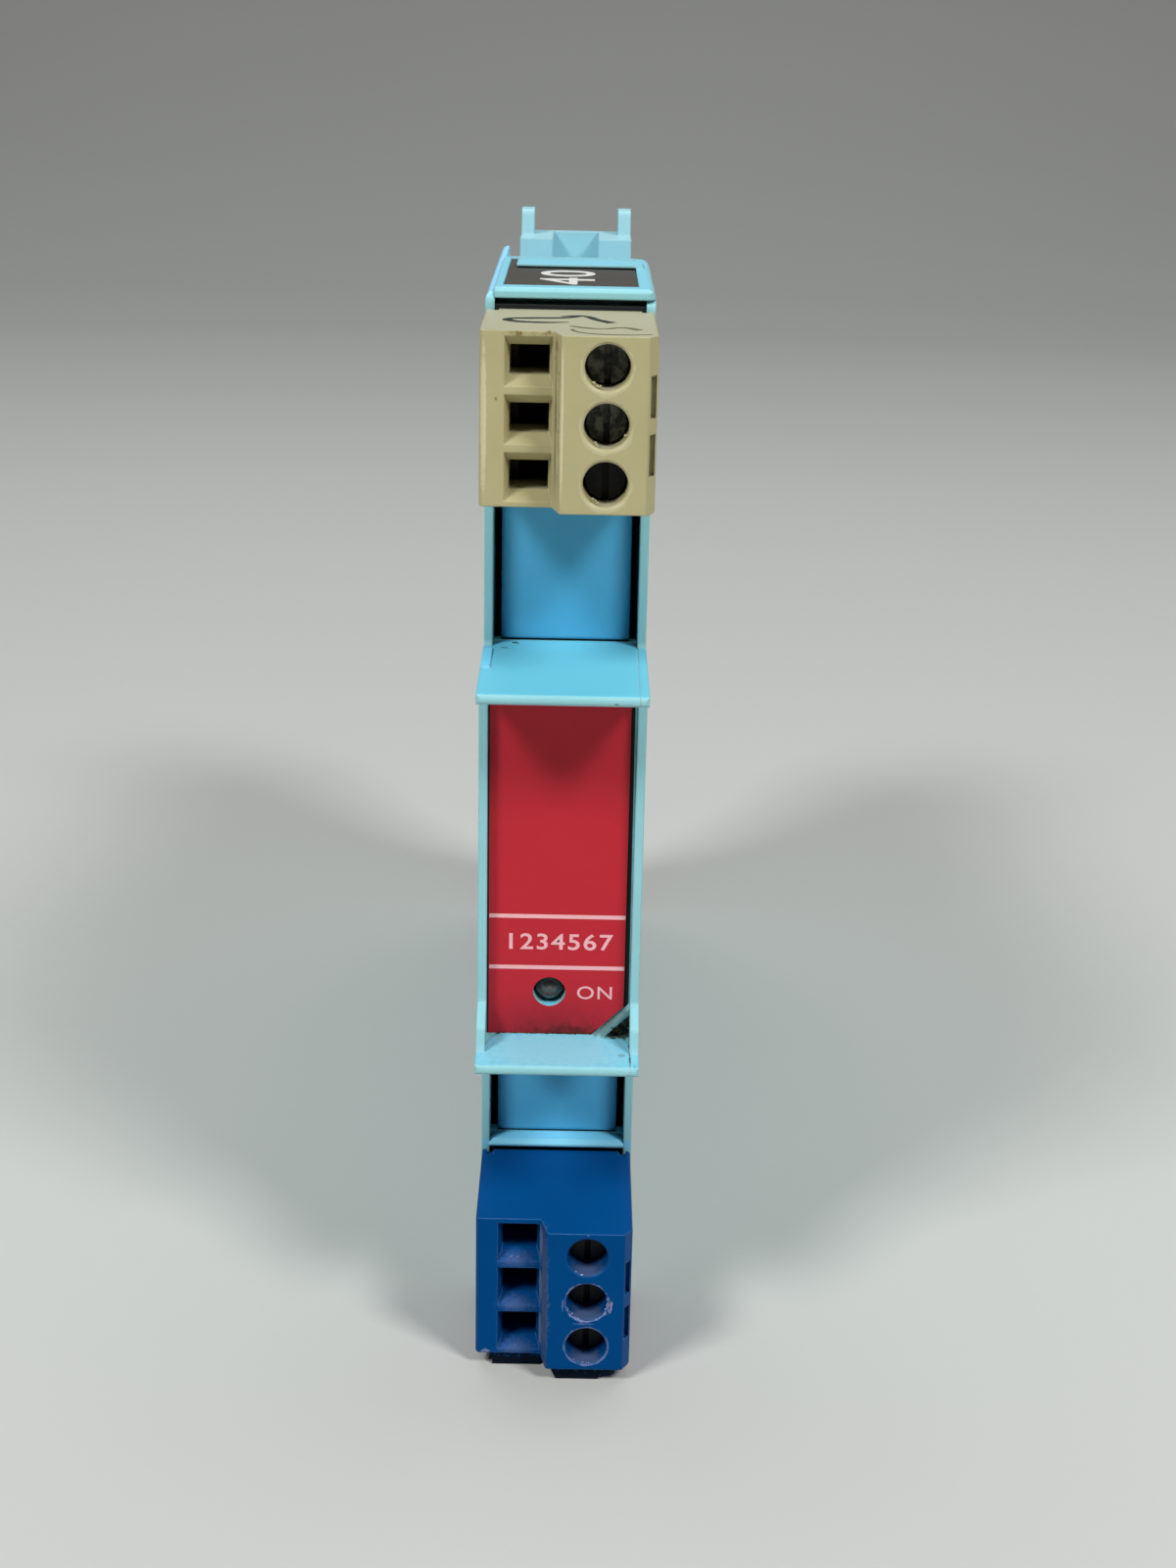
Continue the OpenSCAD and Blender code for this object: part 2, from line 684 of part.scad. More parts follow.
// Current bar, hinge seat and spring tines of each pole
module plug_contacts(z) {
    h = clamp_h / 2;
    color(copper) place() for (k = [-1:1]) translate([0, 0, z + k * pitch]) {
        box([chamber_left, chamber_y + 1, -h], [chamber_left + 0.8, block_y, h]);
        box([chamber_left, block_y - 0.8, -h], [1.2, block_y, h]);
        difference() {
            box([pivot_x - 0.9, pivot_y + 0.55, -h], [pivot_x + 0.9, block_y - 0.8 + tiny, h]);
            translate([pivot_x, pivot_y, -h - 1]) cylinder(r = knuckle_r + 0.1, h = clamp_h + 2);
        }
        for (s = [-1, 1]) tine(s);
    }
}

// One of the two springy strips that grip a header pin
module tine(s) {
    near = pin_w / 2 + 0.05;
    x0 = s > 0 ? near : -near - 0.45;
    box([x0, block_y - tiny, -0.9], [x0 + 0.45, plug_back + 0.75 * nose_l, 0.9]);
}

// Slotted captive screw, its head at the bottom of the hole
module terminal_screw(z) {
    color(steel) place() translate([screw_x, 0, z]) difference() {
        union() {
            rod(0, head_y, 0, head_d / 2, head_h);
            rod(0, head_y, 0, thread_d / 2, block_y - 1.1 - head_y);
        }
        box([-slot_w / 2, head_y - 1, -3], [slot_w / 2, head_y + 0.9, 3]);
        difference() {
            rod(0, head_y - tiny, 0, head_d, 0.2);
            cone(0, head_y - 2 * tiny, 0, head_d / 2 - 0.2, head_d / 2, 0.25);
        }
    }
}

// Nut that runs along the screw and pulls the lever's fork forward
module clamp_nut(z) {
    y0 = fork_y + 0.15;
    half = clamp_h / 2;
    left = screw_x - half;
    right = screw_x + half;
    color(steel) place() translate([0, 0, z]) difference() {
        upward(-half, clamp_h)
            polygon([
                [left, y0 + nut_t], [right, y0 + nut_t], [right, y0], [screw_x, y0], [left, y0 + 0.95]]);
        rod(screw_x, y0 - 1, 0, thread_d / 2 + run_gap, nut_t + 2);
    }
}

// Lever that the nut tips on its knuckle so that its jaw closes on the wire
module clamp_lever(z) {
    slit = thread_d / 2 + 0.1;
    color(copper) place() translate([0, 0, z]) difference() {
        upward(-clamp_h / 2, clamp_h) translate([pivot_x, pivot_y]) {
            circle(knuckle_r);
            translate([0, -fork_t / 2]) square([screw_x + 1.7 - pivot_x, fork_t]);
            polygon([[-0.7, 0.1], [-1.35, -arm_l], [-0.75, -arm_l], [0.7, -0.2]]);
        }
        rod(screw_x, pivot_y - 3, 0, slit, 6);
        box([screw_x, pivot_y - 3, -slit], [screw_x + 4, pivot_y + 3, slit]);
    }
}

// Tray for the tag, with a lip over the tag's rear
module tag_holder() {
    lip_y = tag_y + 0.65 * tag_l;
    lip_end_y = lip_y + 0.22 * tag_l;
    lip_x = 1.5 - hi;
    pocket = tag_w / 2 + 0.1;
    color(case_colour) place() difference() {
        union() {
            upward(hood_z, holder_t + rim_h)
                polygon(rounded([[-hi, bay_y, 0], [hw, bay_y, 0.8], [hw, hood_y, 2.4], [-hi, hood_y, 0.4]]));
            upward(hh, rim_h + 0.25)
                polygon(rounded([
                    [lip_x, lip_y, 0], [hi, lip_y, 0], [hi, lip_end_y, 2], [lip_x, lip_end_y, 1]]));
        }
        box([-pocket, tag_y - 0.1, hh], [pocket, tag_y + tag_l + 0.1, hh + rim_h]);
        box([-pocket, tag_y - 0.1, hh], [pocket, lip_y, hh + 2]);
        translate([0, bay_y, hh + rim_h]) rotate([45, 0, 0]) cube([3 * case_w, 0.5, 0.5], center = true);
        edge_round(hw, hh + rim_h, 1, hood_y + 1);
    }
}

module tag_card() {
    color(black) place() box([-tag_w / 2, tag_y, hh], [tag_w / 2, tag_y + tag_l, hh + tag_t]);
}

// Open socket on the deck: a base, two blocks with ears and a rear wall
module bus_socket() {
    rear = bus_y + bus_l;
    gap = bus_gap / 2;
    color(case_colour) place() {
        box([-hi, bus_y, deck_z], [hi, rear, deck_z + 1.2]);
        box([-hi, rear - 1.2, deck_z], [hi, rear, deck_z + block_h]);
        for (s = [-1, 1]) {
            inner = s * gap;
            outer = s * hi;
            box([min(inner, outer), bus_y, deck_z], [max(inner, outer), rear, deck_z + block_h]);
            ear = s * (hi - 1.65);
            across(min(ear, outer), 1.65) polygon(rounded([
                [rear - 5, deck_z + block_h - tiny, 0], [rear, deck_z + block_h - tiny, 0],
                [rear, deck_z + ear_h, 0.5], [rear - 4.2, deck_z + ear_h, 0.8]]));
            translate([s * bus_peg_x, bus_y + bus_peg_y, 0])
                box([-1.2, -1.2, deck_z - 1.6], [1.2, 1.2, deck_z + tiny]);
        }
    }
}

// Sprung slide with a hook that holds the rail's lower lip
module rail_latch() {
    half = hi - 0.2;
    front = seat_y + 0.3;
    back = case_d - 0.1;
    top = guide_high + latch_travel + 0.2;
    color(black) place() difference() {
        across(-half, 2 * half) polygon(rounded([
            [front, latch_bottom, 0.4], [back, latch_bottom, 0.4], [back, latch_top - 2.4, 0.3],
            [hook_y + 0.6, latch_top, 0.2], [hook_y - 0.05, latch_top, 0.2],
            [hook_y - 0.05, -lip_end - 0.2, 0], [front, -lip_end - 0.2, 0.2]]));
        box([-1.75, front - 1, guide_low - 0.1], [1.75, seat_y + 2.1, top]);
        box([-2.95, seat_y + 1.85, guide_low - 0.1], [2.95, seat_y + 2.95, top]);
        box([-2.1, front - 1, spring_low - latch_travel - 2.2], [2.1, back + 1, spring_high]);
        box([-3, back - 1, latch_bottom + 0.7], [3, back + 1, latch_bottom + 1.9]);
        for (s = [-1, 1], i = [0:3]) translate([s * 4.6, 0, latch_bottom + 3.6 + 1.6 * i])
            box([-1.2, back - 0.3, 0], [1.2, back + 1, 0.7]);
    }
}

// Compression spring swept round its axis, with a closed turn at each end
module latch_spring() {
    sides = 8;
    per_turn = 12;
    turns = spring_turns + 1;
    rings = turns * per_turn;
    r = spring_wire / 2;
    length = spring_l - spring_wire;
    function rise(t) = t < 1 ? t * spring_wire
        : t > turns - 1 ? length - (turns - t) * spring_wire
        : spring_wire + (t - 1) * (length - 2 * spring_wire) / (turns - 2);
    points = [for (i = [0:rings], j = [0:sides - 1])
        let (t = i / per_turn, a = 360 * t, b = 360 * j / sides, d = spring_d / 2 + r * cos(b))
        [d * cos(a), d * sin(a), rise(t) + r * sin(b)]];
    walls = [for (i = [0:rings - 1], j = [0:sides - 1])
        let (k = (j + 1) % sides) [i * sides + j, i * sides + k, (i + 1) * sides + k, (i + 1) * sides + j]];
    caps = [[for (j = [sides - 1:-1:0]) j], [for (j = [0:sides - 1]) rings * sides + j]];
    color(steel) place() translate([0, seat_y + 2.1, spring_low + r])
        polyhedron(points, concat(walls, caps));
}

module circuit_board() {
    x0 = -hi + board_x;
    deck = deck_z - shell_t - 2;
    h = pin_w / 2 + 0.05;
    color([0.12, 0.38, 0.22]) place() difference() {
        across(x0, board_t) polygon([
            [board_y, board_low], [board_end, board_low], [board_end, deck],
            [hood_y - 4, deck], [hood_y - 4, board_high], [board_y, board_high]]);
        for (p = pegs) translate([x0 - 1, p[0], p[1]])
            rotate([0, 90, 0]) cylinder(d = peg_d + fit, h = board_t + 2);
        for (s = [-1, 1], k = [-1:1]) translate([x0, board_y + 2 - pin_w / 2, s * plug_z + k * pitch])
            box([-1, -h, -h], [board_t + 1, h, h]);
    }
}

// Puts a part on the board: y and z are shares of the board's length and of half the case's height
module on_board(y, z) { translate([board_front, board_y + y * (board_end - board_y), z * hh]) children(); }

// Two E-shaped ferrite halves, closed round the bobbin
module transformer_core() {
    x0 = board_front + 1.2;
    leg = core_l / 7;
    color(black) place() difference() {
        box([x0, core_y, -core_h / 2], [x0 + core_x, core_y + core_l, core_h / 2]);
        for (s = [-1, 1]) translate([0, core_mid + s * 0.27 * core_l, 0])
            box([x0 - 1, -leg, leg - core_h / 2], [x0 + core_x + 1, leg, core_h / 2 - leg]);
    }
}

// Former on the core's centre leg, with feet on the board
module transformer_bobbin() {
    x0 = board_front;
    half = 0.405 * core_l;
    leg = 0.13 * core_l;
    top = core_h / 2 - core_l / 7 - 0.1;
    color([0.85, 0.82, 0.7]) place() translate([0, core_mid, 0]) difference() {
        union() {
            for (s = [-1, 1]) translate([0, 0, s * (top - 0.4)])
                box([x0, -half, -0.4], [x0 + core_x + 2.1, half, 0.4]);
            box([x0 + 0.5, -leg - 0.65, -top], [x0 + core_x + 1.9, leg + 0.65, top]);
        }
        box([x0 + 1.1, -leg, -top - 1], [x0 + core_x + 1.3, leg, top + 1]);
    }
}

module transformer_winding() {
    x0 = board_front + 0.1;
    x1 = board_front + room - 0.6;
    half = 0.365 * core_l;
    core = 0.13 * core_l + 0.7;
    top = core_h / 2 - core_l / 7 - 1;
    color(copper) place() upward(-top, 2 * top) translate([0, core_mid]) difference() {
        polygon(rounded([[x0, -half, 1.5], [x1, -half, 1.5], [x1, half, 1.5], [x0, half, 1.5]]));
        translate([x0 + 0.35, -core]) square([core_x + 1.5, 2 * core]);
    }
}

// A cylinder that lies on the board, its axis along y
module lying_can(d, l) {
    translate([d / 2, 0, 0]) rotate([-90, 0, 0]) {
        cylinder(d = d, h = l);
        for (s = [-1, 1]) translate([s * d / 5 - 0.3, -0.3, -2]) cube([0.6, 0.6, 2.1]);
    }
}

module electrolytic_capacitors() {
    color([0.15, 0.2, 0.45]) place() {
        on_board(0.16, 0.41) lying_can(0.8 * room, can_l);
        on_board(0.16, 0.62) lying_can(0.63 * room, can_l);
        on_board(0.71, 0.19) lying_can(0.8 * room, can_l);
    }
}

module film_capacitors() {
    color([0.75, 0.25, 0.15]) place() for (p = [[0.37, 0.34], [0.37, 0.53], [0.71, 0.45]])
        on_board(p[0], p[1]) cube([0.65 * room, film_l, film_l / 2]);
}

// Axial part along z, its leads bent down to the board
module axial(d, l) {
    translate([d / 2 + 0.2, 0, -l / 2]) {
        cylinder(d = d, h = l);
        for (s = [0, 1]) {
            translate([0, 0, s == 0 ? -1.6 : l - tiny]) cylinder(d = 0.6, h = 1.6 + tiny, $fn = 16);
            translate([-d / 2 - 0.2, -0.3, s == 0 ? -1.9 : l + 1.3]) cube([d / 2 + 0.5, 0.6, 0.6]);
        }
    }
}

module power_resistors() {
    color([0.45, 0.62, 0.68]) place() for (i = [0:3])
        on_board(0.11 + 0.06 * i, -0.23) axial(0.38 * resistor_l, resistor_l);
}

module shunt_diodes() {
    color(black) place() for (i = [0:2]) on_board(0.68 + 0.07 * i, -0.72) axial(0.54 * diode_l, diode_l);
}

module safety_fuse() {
    high = 0.7 * room;
    wide = 0.57 * fuse_l;
    color([0.85, 0.8, 0.3]) place() on_board(0.11, -0.7) difference() {
        cube([high, fuse_l, wide]);
        for (s = [-1, 1]) translate([0, fuse_l / 2 + s * 0.36 * fuse_l, 0])
            box([high - 0.5, -0.6, -1], [high + 1, 0.6, wide + 1]);
    }
}

// Chip with a row of bent legs on each long side
module chip(l, w, legs) {
    box([0.4, 0, 0], [2.6, l, w]);
    for (i = [0:legs - 1], side = [0, 1])
        translate([0, l * (i + 0.5) / legs - 0.25, w / 2]) mirror([0, 0, side]) translate([0, 0, w / 2]) {
            box([0, 0, 0.4], [0.3, 0.5, 1]);
            box([0, 0, 0.3], [1.4, 0.5, 0.6]);
            box([1.1, 0, -tiny], [1.4, 0.5, 0.5]);
        }
}

module control_chips() {
    color(black) place() {
        on_board(0.71, -0.19) chip(1.05 * chip_l, 0.72 * chip_l, 3);
        on_board(0.14, 0.04) chip(chip_l, 0.47 * chip_l, 4);
        on_board(0.71, -0.45) chip(chip_l, 0.47 * chip_l, 4);
    }
}

// Flat power transistor with a screw hole in its tab and three bent leads
module output_transistor() {
    w = transistor_w;
    color(black) place() on_board(0.45, -0.63) difference() {
        union() {
            box([0, 0, -1.45 * w], [1.3, w, 0]);
            box([0, 0, -0.9 * w], [4.5, w, 0]);
            for (i = [-1:1]) translate([0, w / 2 + 0.25 * w * i, 0]) {
                box([1.2, -0.4, -tiny], [1.7, 0.4, 2.5]);
                box([0, -0.4, 2], [1.7, 0.4, 2.5]);
            }
        }
        translate([-1, w / 2, -1.18 * w]) rotate([0, 90, 0]) cylinder(d = 0.36 * w, h = 4);
    }
}

function pole_z(z, n) = z + (2 - n) * pitch;

case_base();
case_cover();
front_label();
status_lamp();
bay_blank(ledge_z);  // upper_bay_blank
bay_blank(shelf_t - shelf_z);  // lower_bay_blank
header(plug_z);  // safe_header
header(-plug_z);  // hazard_header
header_pins(plug_z);  // safe_header_pins
header_pins(-plug_z);  // hazard_header_pins
plug_body(plug_z, beige, false);  // safe_plug_body
plug_nose(plug_z);  // safe_plug_nose
plug_contacts(plug_z);  // safe_plug_contacts
plug_body(-plug_z, deep_blue, true);  // hazard_plug_body
plug_nose(-plug_z);  // hazard_plug_nose
plug_contacts(-plug_z);  // hazard_plug_contacts
for (n = [1:poles]) {
    terminal_screw(pole_z(plug_z, n));
    clamp_nut(pole_z(plug_z, n));
    clamp_lever(pole_z(plug_z, n));
    terminal_screw(pole_z(-plug_z, n));
    clamp_nut(pole_z(-plug_z, n));
    clamp_lever(pole_z(-plug_z, n));
}
tag_holder();
tag_card();
bus_socket();
rail_latch();
latch_spring();
circuit_board();
transformer_core();
transformer_bobbin();
transformer_winding();
electrolytic_capacitors();
film_capacitors();
power_resistors();
shunt_diodes();
safety_fuse();
control_chips();
output_transistor();
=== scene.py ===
import math
import random

import bmesh
import bpy
from mathutils import Matrix, Vector


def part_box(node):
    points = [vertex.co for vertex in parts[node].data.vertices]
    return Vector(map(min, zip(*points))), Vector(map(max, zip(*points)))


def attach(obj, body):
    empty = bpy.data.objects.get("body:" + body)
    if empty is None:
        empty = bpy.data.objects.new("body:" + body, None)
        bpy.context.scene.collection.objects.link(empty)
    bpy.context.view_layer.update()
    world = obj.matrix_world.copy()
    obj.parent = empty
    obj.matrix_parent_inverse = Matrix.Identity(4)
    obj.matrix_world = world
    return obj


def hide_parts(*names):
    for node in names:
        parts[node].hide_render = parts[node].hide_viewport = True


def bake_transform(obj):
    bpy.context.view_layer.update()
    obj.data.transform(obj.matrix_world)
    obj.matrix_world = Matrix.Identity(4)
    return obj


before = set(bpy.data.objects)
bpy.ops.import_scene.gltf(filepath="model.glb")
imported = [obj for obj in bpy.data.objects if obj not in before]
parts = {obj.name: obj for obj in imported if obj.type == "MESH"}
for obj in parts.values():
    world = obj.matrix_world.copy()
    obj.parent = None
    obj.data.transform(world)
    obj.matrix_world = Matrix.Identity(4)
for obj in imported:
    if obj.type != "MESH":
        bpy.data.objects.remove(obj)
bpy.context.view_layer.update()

# Camera, bench and lights
# The module stands on a pale laminate bench, under a wide soft lamp and a smaller one on each side. The
# camera looks at its plugs from in front and a little above.
MM = 0.001
camera_place = Vector((1.3, -252.43, 131.17)) * MM
camera_pitch, camera_roll, camera_yaw = 19.34, 1.21, 0.34
focal_pixels, picture_height, sensor = 2267.2, 1600, 36.0

camera = bpy.data.objects.new("camera", bpy.data.cameras.new("camera"))
camera.data.sensor_width = sensor
camera.data.lens = focal_pixels / picture_height * sensor
camera.data.clip_start, camera.data.clip_end = 0.01, 20
camera.matrix_world = (
    Matrix.Translation(camera_place)
    @ Matrix.Rotation(math.radians(-camera_yaw), 4, "Z")
    @ Matrix.Rotation(math.radians(90 - camera_pitch), 4, "X")
    @ Matrix.Rotation(math.radians(camera_roll), 4, "Z")
)
bpy.context.scene.collection.objects.link(camera)
bpy.context.scene.camera = camera
bpy.context.scene.view_settings.view_transform = "Standard"


def srgb(red, green, blue):
    """An opaque colour read as 0 to 255 on a screen, in the linear values that the shaders take."""
    def linear(value):
        value /= 255
        return value / 12.92 if value <= 0.04045 else ((value + 0.055) / 1.055) ** 2.4
    return (linear(red), linear(green), linear(blue), 1.0)


def feed(tree, socket, value):
    """Sets a socket to a value, or links another node's output to it."""
    if isinstance(value, bpy.types.NodeSocket):
        tree.links.new(value, socket)
    else:
        socket.default_value = value


def put(tree, kind, settings=None, **sockets):
    """Adds one shader node. A socket is given by its name, and takes a value or another node's output."""
    made = tree.nodes.new(kind)
    for name, value in (settings or {}).items():
        setattr(made, name, value)
    for name, value in sockets.items():
        feed(tree, made.inputs[name.replace("_", " ")], value)
    return made


def new_finish(name):
    """A material and its tree and Principled shader."""
    made = bpy.data.materials.new(name)
    made.use_nodes = True
    return made, made.node_tree, made.node_tree.nodes["Principled BSDF"]


def bench_finish():
    """Pale matt bench top with a faint cloudiness."""
    made, tree, shader = new_finish("bench laminate")
    cloud = put(tree, "ShaderNodeTexNoise", Scale=9.0, Detail=6.0)
    ramp = put(tree, "ShaderNodeValToRGB", Fac=cloud.outputs["Fac"])
    ramp.color_ramp.elements[0].color = srgb(186, 185, 180)
    ramp.color_ramp.elements[1].color = srgb(198, 197, 192)
    tree.links.new(ramp.outputs["Color"], shader.inputs["Base Color"])
    shader.inputs["Roughness"].default_value = 0.75
    return made


bench_front, bench_half_width, backdrop_top = -3, 4, 4
bend_start, bend_radius, bend_steps = 0.7, 0.7, 12
sweep = [(bench_front, 0)]
for step in range(bend_steps + 1):
    turn = math.radians(90 / bend_steps * step)
    sweep.append((bend_start + bend_radius * math.sin(turn), bend_radius * (1 - math.cos(turn))))
sweep.append((bend_start + bend_radius, backdrop_top))
bench_mesh = bpy.data.meshes.new("bench")
bench_mesh.from_pydata(
    [(x, y, z) for y, z in sweep for x in (-bench_half_width, bench_half_width)], [],
    [(2 * i, 2 * i + 1, 2 * i + 3, 2 * i + 2) for i in range(len(sweep) - 1)])
bench_mesh.shade_smooth()
bench = bpy.data.objects.new("bench", bench_mesh)
bench.data.materials.append(bench_finish())
bpy.context.scene.collection.objects.link(bench)


def soft_lamp(name, place, aim, width, depth, watts, colour):
    """A soft box that points at the module."""
    made = bpy.data.objects.new(name, bpy.data.lights.new(name, "AREA"))
    made.data.shape = "RECTANGLE"
    made.data.size, made.data.size_y = width, depth
    made.data.energy, made.data.color = watts, colour
    made.location = place
    made.rotation_euler = (Vector(aim) - Vector(place)).to_track_quat("-Z", "Y").to_euler()
    bpy.context.scene.collection.objects.link(made)


soft_lamp("ceiling lamp", place=(0.02, 0.28, 0.80), aim=(0, 0, 0.06), width=1.0, depth=0.5, watts=3.6,
          colour=(0.90, 0.96, 1.0))
for side, name in ((-1, "left lamp"), (1, "right lamp")):
    soft_lamp(name, place=(side * 0.54, -0.56, 0.86), aim=(0, -0.03, 0.06), width=0.25, depth=0.25,
              watts=7.3, colour=(0.97, 0.99, 1.0))
surroundings = bpy.data.worlds.new("room")
surroundings.use_nodes = True
room_light = surroundings.node_tree.nodes["Background"]
room_light.inputs["Color"].default_value = (0.94, 0.97, 1.0, 1)
room_light.inputs["Strength"].default_value = 0.025
bpy.context.scene.world = surroundings

# Case shells
# Two shells moulded in pale cyan plastic, a deep one with the left wall and a flat cover that snaps on from
# the right. Handling has dulled their edges, and dirt has settled in the corners of the ledges. Their tops
# are painted bluer for the light on them, and their edges are paler partly as painted highlights. Painted
# patches of light lie on the top of the left wall and on the shelf, and a glint is painted at the left end
# of the upper ledge.
edge_radius = 0.28 * MM
shelf_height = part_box("lower_bay_blank")[0].z / MM - 0.4
case_front, case_top_light_tone, case_edge_wear_and_highlight = srgb(150, 210, 217), srgb(110, 201, 226), srgb(192, 234, 236)
left_wall_top_light, ledge_end_glint, shelf_top_light = srgb(158, 224, 255), srgb(122, 220, 255), srgb(132, 210, 242)
corner_film, ledge_film = srgb(84, 120, 112), srgb(168, 220, 232)
ridge_grey, case_dirt = srgb(94, 116, 110), srgb(52, 52, 36)


def mm(*lengths):
    """Lengths given in millimetres, as a vector in metres."""
    return Vector(lengths) * MM


def effect(name, inputs, outputs):
    """An empty shader group with named sockets: (tree, its input node's sockets, its output node)."""
    tree = bpy.data.node_groups.new(name, "ShaderNodeTree")
    for label, kind, value in inputs:
        socket = tree.interface.new_socket(name=label, in_out="INPUT", socket_type="NodeSocket" + kind)
        socket.default_value = value
    for label, kind in outputs:
        tree.interface.new_socket(name=label, in_out="OUTPUT", socket_type="NodeSocket" + kind)
    return tree, tree.nodes.new("NodeGroupInput").outputs, tree.nodes.new("NodeGroupOutput")


def give(tree, result, **values):
    """Hands a group's results to its output node."""
    for name, value in values.items():
        feed(tree, result.inputs[name], value)


def calculate(tree, operation, *values, clamp=False):
    """The result of one Math node."""
    made = put(tree, "ShaderNodeMath", {"operation": operation, "use_clamp": clamp})
    for socket, value in zip(made.inputs, values):
        feed(tree, socket, value)
    return made.outputs["Value"]


def calculate_vector(tree, operation, *values):
    """The result of one Vector Math node: a number for a length or a dot product, or else a vector."""
    made = put(tree, "ShaderNodeVectorMath", {"operation": operation})
    for socket, value in zip(made.inputs, values):
        feed(tree, socket, value)
    return made.outputs["Value" if operation in ("LENGTH", "DOT_PRODUCT") else "Vector"]


def stretched(tree, value, low, high, smooth=False, **ends):
    """A value stretched so that low becomes 0 and high becomes 1, unless other ends are given."""
    kind = {"interpolation_type": "SMOOTHSTEP" if smooth else "LINEAR"}
    made = put(tree, "ShaderNodeMapRange", kind, Value=value, From_Min=low, From_Max=high, **ends)
    return made.outputs["Result"]


def on_piece(tree):
    """Where a point lies on its piece."""
    return put(tree, "ShaderNodeTexCoord").outputs["Object"]


def noise(tree, where, scale, detail, roughness):
    """Cloudy noise from 0 to 1."""
    made = put(tree, "ShaderNodeTexNoise", Vector=where, Scale=scale, Detail=detail, Roughness=roughness)
    return made.outputs["Fac"]


def mould_grain_group():
    """Fine moulded grain, with a slow mottling of the colour and of the gloss."""
    tree, given, result = effect(
        "mould grain",
        [("Colour", "Color", (0.5, 0.5, 0.5, 1)), ("Grain Scale", "Float", 2500.0),
         ("Mottle", "Float", 0.06), ("Rough", "Float", 0.45), ("Rough Change", "Float", 0.12)],
        [("Colour", "Color"), ("Height", "Float"), ("Roughness", "Float")])
    where = on_piece(tree)
    fine = noise(tree, where, given["Grain Scale"], detail=4.0, roughness=0.6)
    slow = noise(tree, where, 160.0, detail=5.0, roughness=0.65)
    centred = calculate(tree, "SUBTRACT", slow, 0.5)
    swing = calculate(tree, "MULTIPLY", centred, given["Mottle"])
    level = calculate(tree, "MULTIPLY_ADD", swing, 4.0, 1.0)
    shade = put(tree, "ShaderNodeHueSaturation", Value=level, Color=given["Colour"]).outputs["Color"]
    gloss = calculate(tree, "MULTIPLY_ADD", centred, given["Rough Change"], given["Rough"])
    give(tree, result, Colour=shade, Height=fine, Roughness=gloss)
    return tree


def edge_wear_and_highlight_group():
    """Normal of a softly rounded edge, and a broken mask along it, for edges rubbed pale by handling and for
    painted highlights on edges.
    """
    tree, given, result = effect(
        "edge wear and highlight",
        [("Radius", "Float", 0.0003), ("Wear", "Float", 0.5), ("Break Scale", "Float", 900.0)],
        [("Mask", "Float"), ("Normal", "Vector")])
    soft = put(tree, "ShaderNodeBevel", {"samples": 6}, Radius=given["Radius"]).outputs["Normal"]
    sharp = put(tree, "ShaderNodeNewGeometry").outputs["Normal"]
    turned = calculate(tree, "SUBTRACT", 1.0, calculate_vector(tree, "DOT_PRODUCT", soft, sharp))
    ragged = noise(tree, on_piece(tree), given["Break Scale"], detail=5.0, roughness=0.7)
    edge = stretched(tree, calculate(tree, "MULTIPLY", turned, ragged), 0.02, 0.16, smooth=True)
    give(tree, result, Mask=calculate(tree, "MULTIPLY", edge, given["Wear"], clamp=True), Normal=soft)
    return tree


def dirt_and_shade_group():
    """Mask of the inner corners, broken into patches, where dust and grease stay on most finishes, and where
    shade is painted on the bay blanks.
    """
    tree, given, result = effect(
        "dirt and shade",
        [("Reach", "Float", 0.0012), ("Amount", "Float", 0.6), ("Patch Scale", "Float", 700.0)],
        [("Mask", "Float")])
    open_sky = put(tree, "ShaderNodeAmbientOcclusion", {"samples": 6}, Distance=given["Reach"]).outputs["AO"]
    hidden = stretched(tree, open_sky, 0.75, 0.25)
    patches = noise(tree, on_piece(tree), given["Patch Scale"], detail=6.0, roughness=0.7)
    both = calculate(tree, "MULTIPLY", hidden, stretched(tree, patches, 0.38, 0.62))
    give(tree, result, Mask=calculate(tree, "MULTIPLY", both, given["Amount"], clamp=True))
    return tree


def frayed(tree, distance, where, given, detail, roughness):
    """A distance made longer and shorter by noise, for the ragged outline of a patch."""
    cloud = noise(tree, where, given["Break Scale"], detail, roughness)
    swing = stretched(tree, cloud, 0.35, 0.65, To_Min=-1.0, To_Max=1.0)
    return calculate(tree, "MULTIPLY_ADD", swing, given["Ragged"], distance)


def spot_group():
    """Mask of one ragged oval patch, given by its middle and its half widths along x, y and z."""
    tree, given, result = effect(
        "spot",
        [("Middle", "Vector", (0, 0, 0)), ("Half Widths", "Vector", (1, 1, 1)), ("Fade", "Float", 0.5),
         ("Ragged", "Float", 0.3), ("Strength", "Float", 1.0), ("Break Scale", "Float", 1400.0)],
        [("Mask", "Float")])
    where = on_piece(tree)
    away = calculate_vector(tree, "SUBTRACT", where, given["Middle"])
    distance = calculate_vector(tree, "LENGTH", calculate_vector(tree, "DIVIDE", away, given["Half Widths"]))
    bent = frayed(tree, distance, where, given, detail=6.0, roughness=0.7)
    inside = stretched(tree, bent, 1.0, calculate(tree, "SUBTRACT", 1.0, given["Fade"]), smooth=True)
    give(tree, result, Mask=calculate(tree, "MULTIPLY", inside, given["Strength"], clamp=True))
    return tree


mould_grain, edge_wear_and_highlight, dirt_and_shade = mould_grain_group(), edge_wear_and_highlight_group(), dirt_and_shade_group()
spot = spot_group()


def use(tree, group, **sockets):
    """Places one of the shared effects in a material."""
    return put(tree, "ShaderNodeGroup", {"node_tree": group}, **sockets).outputs


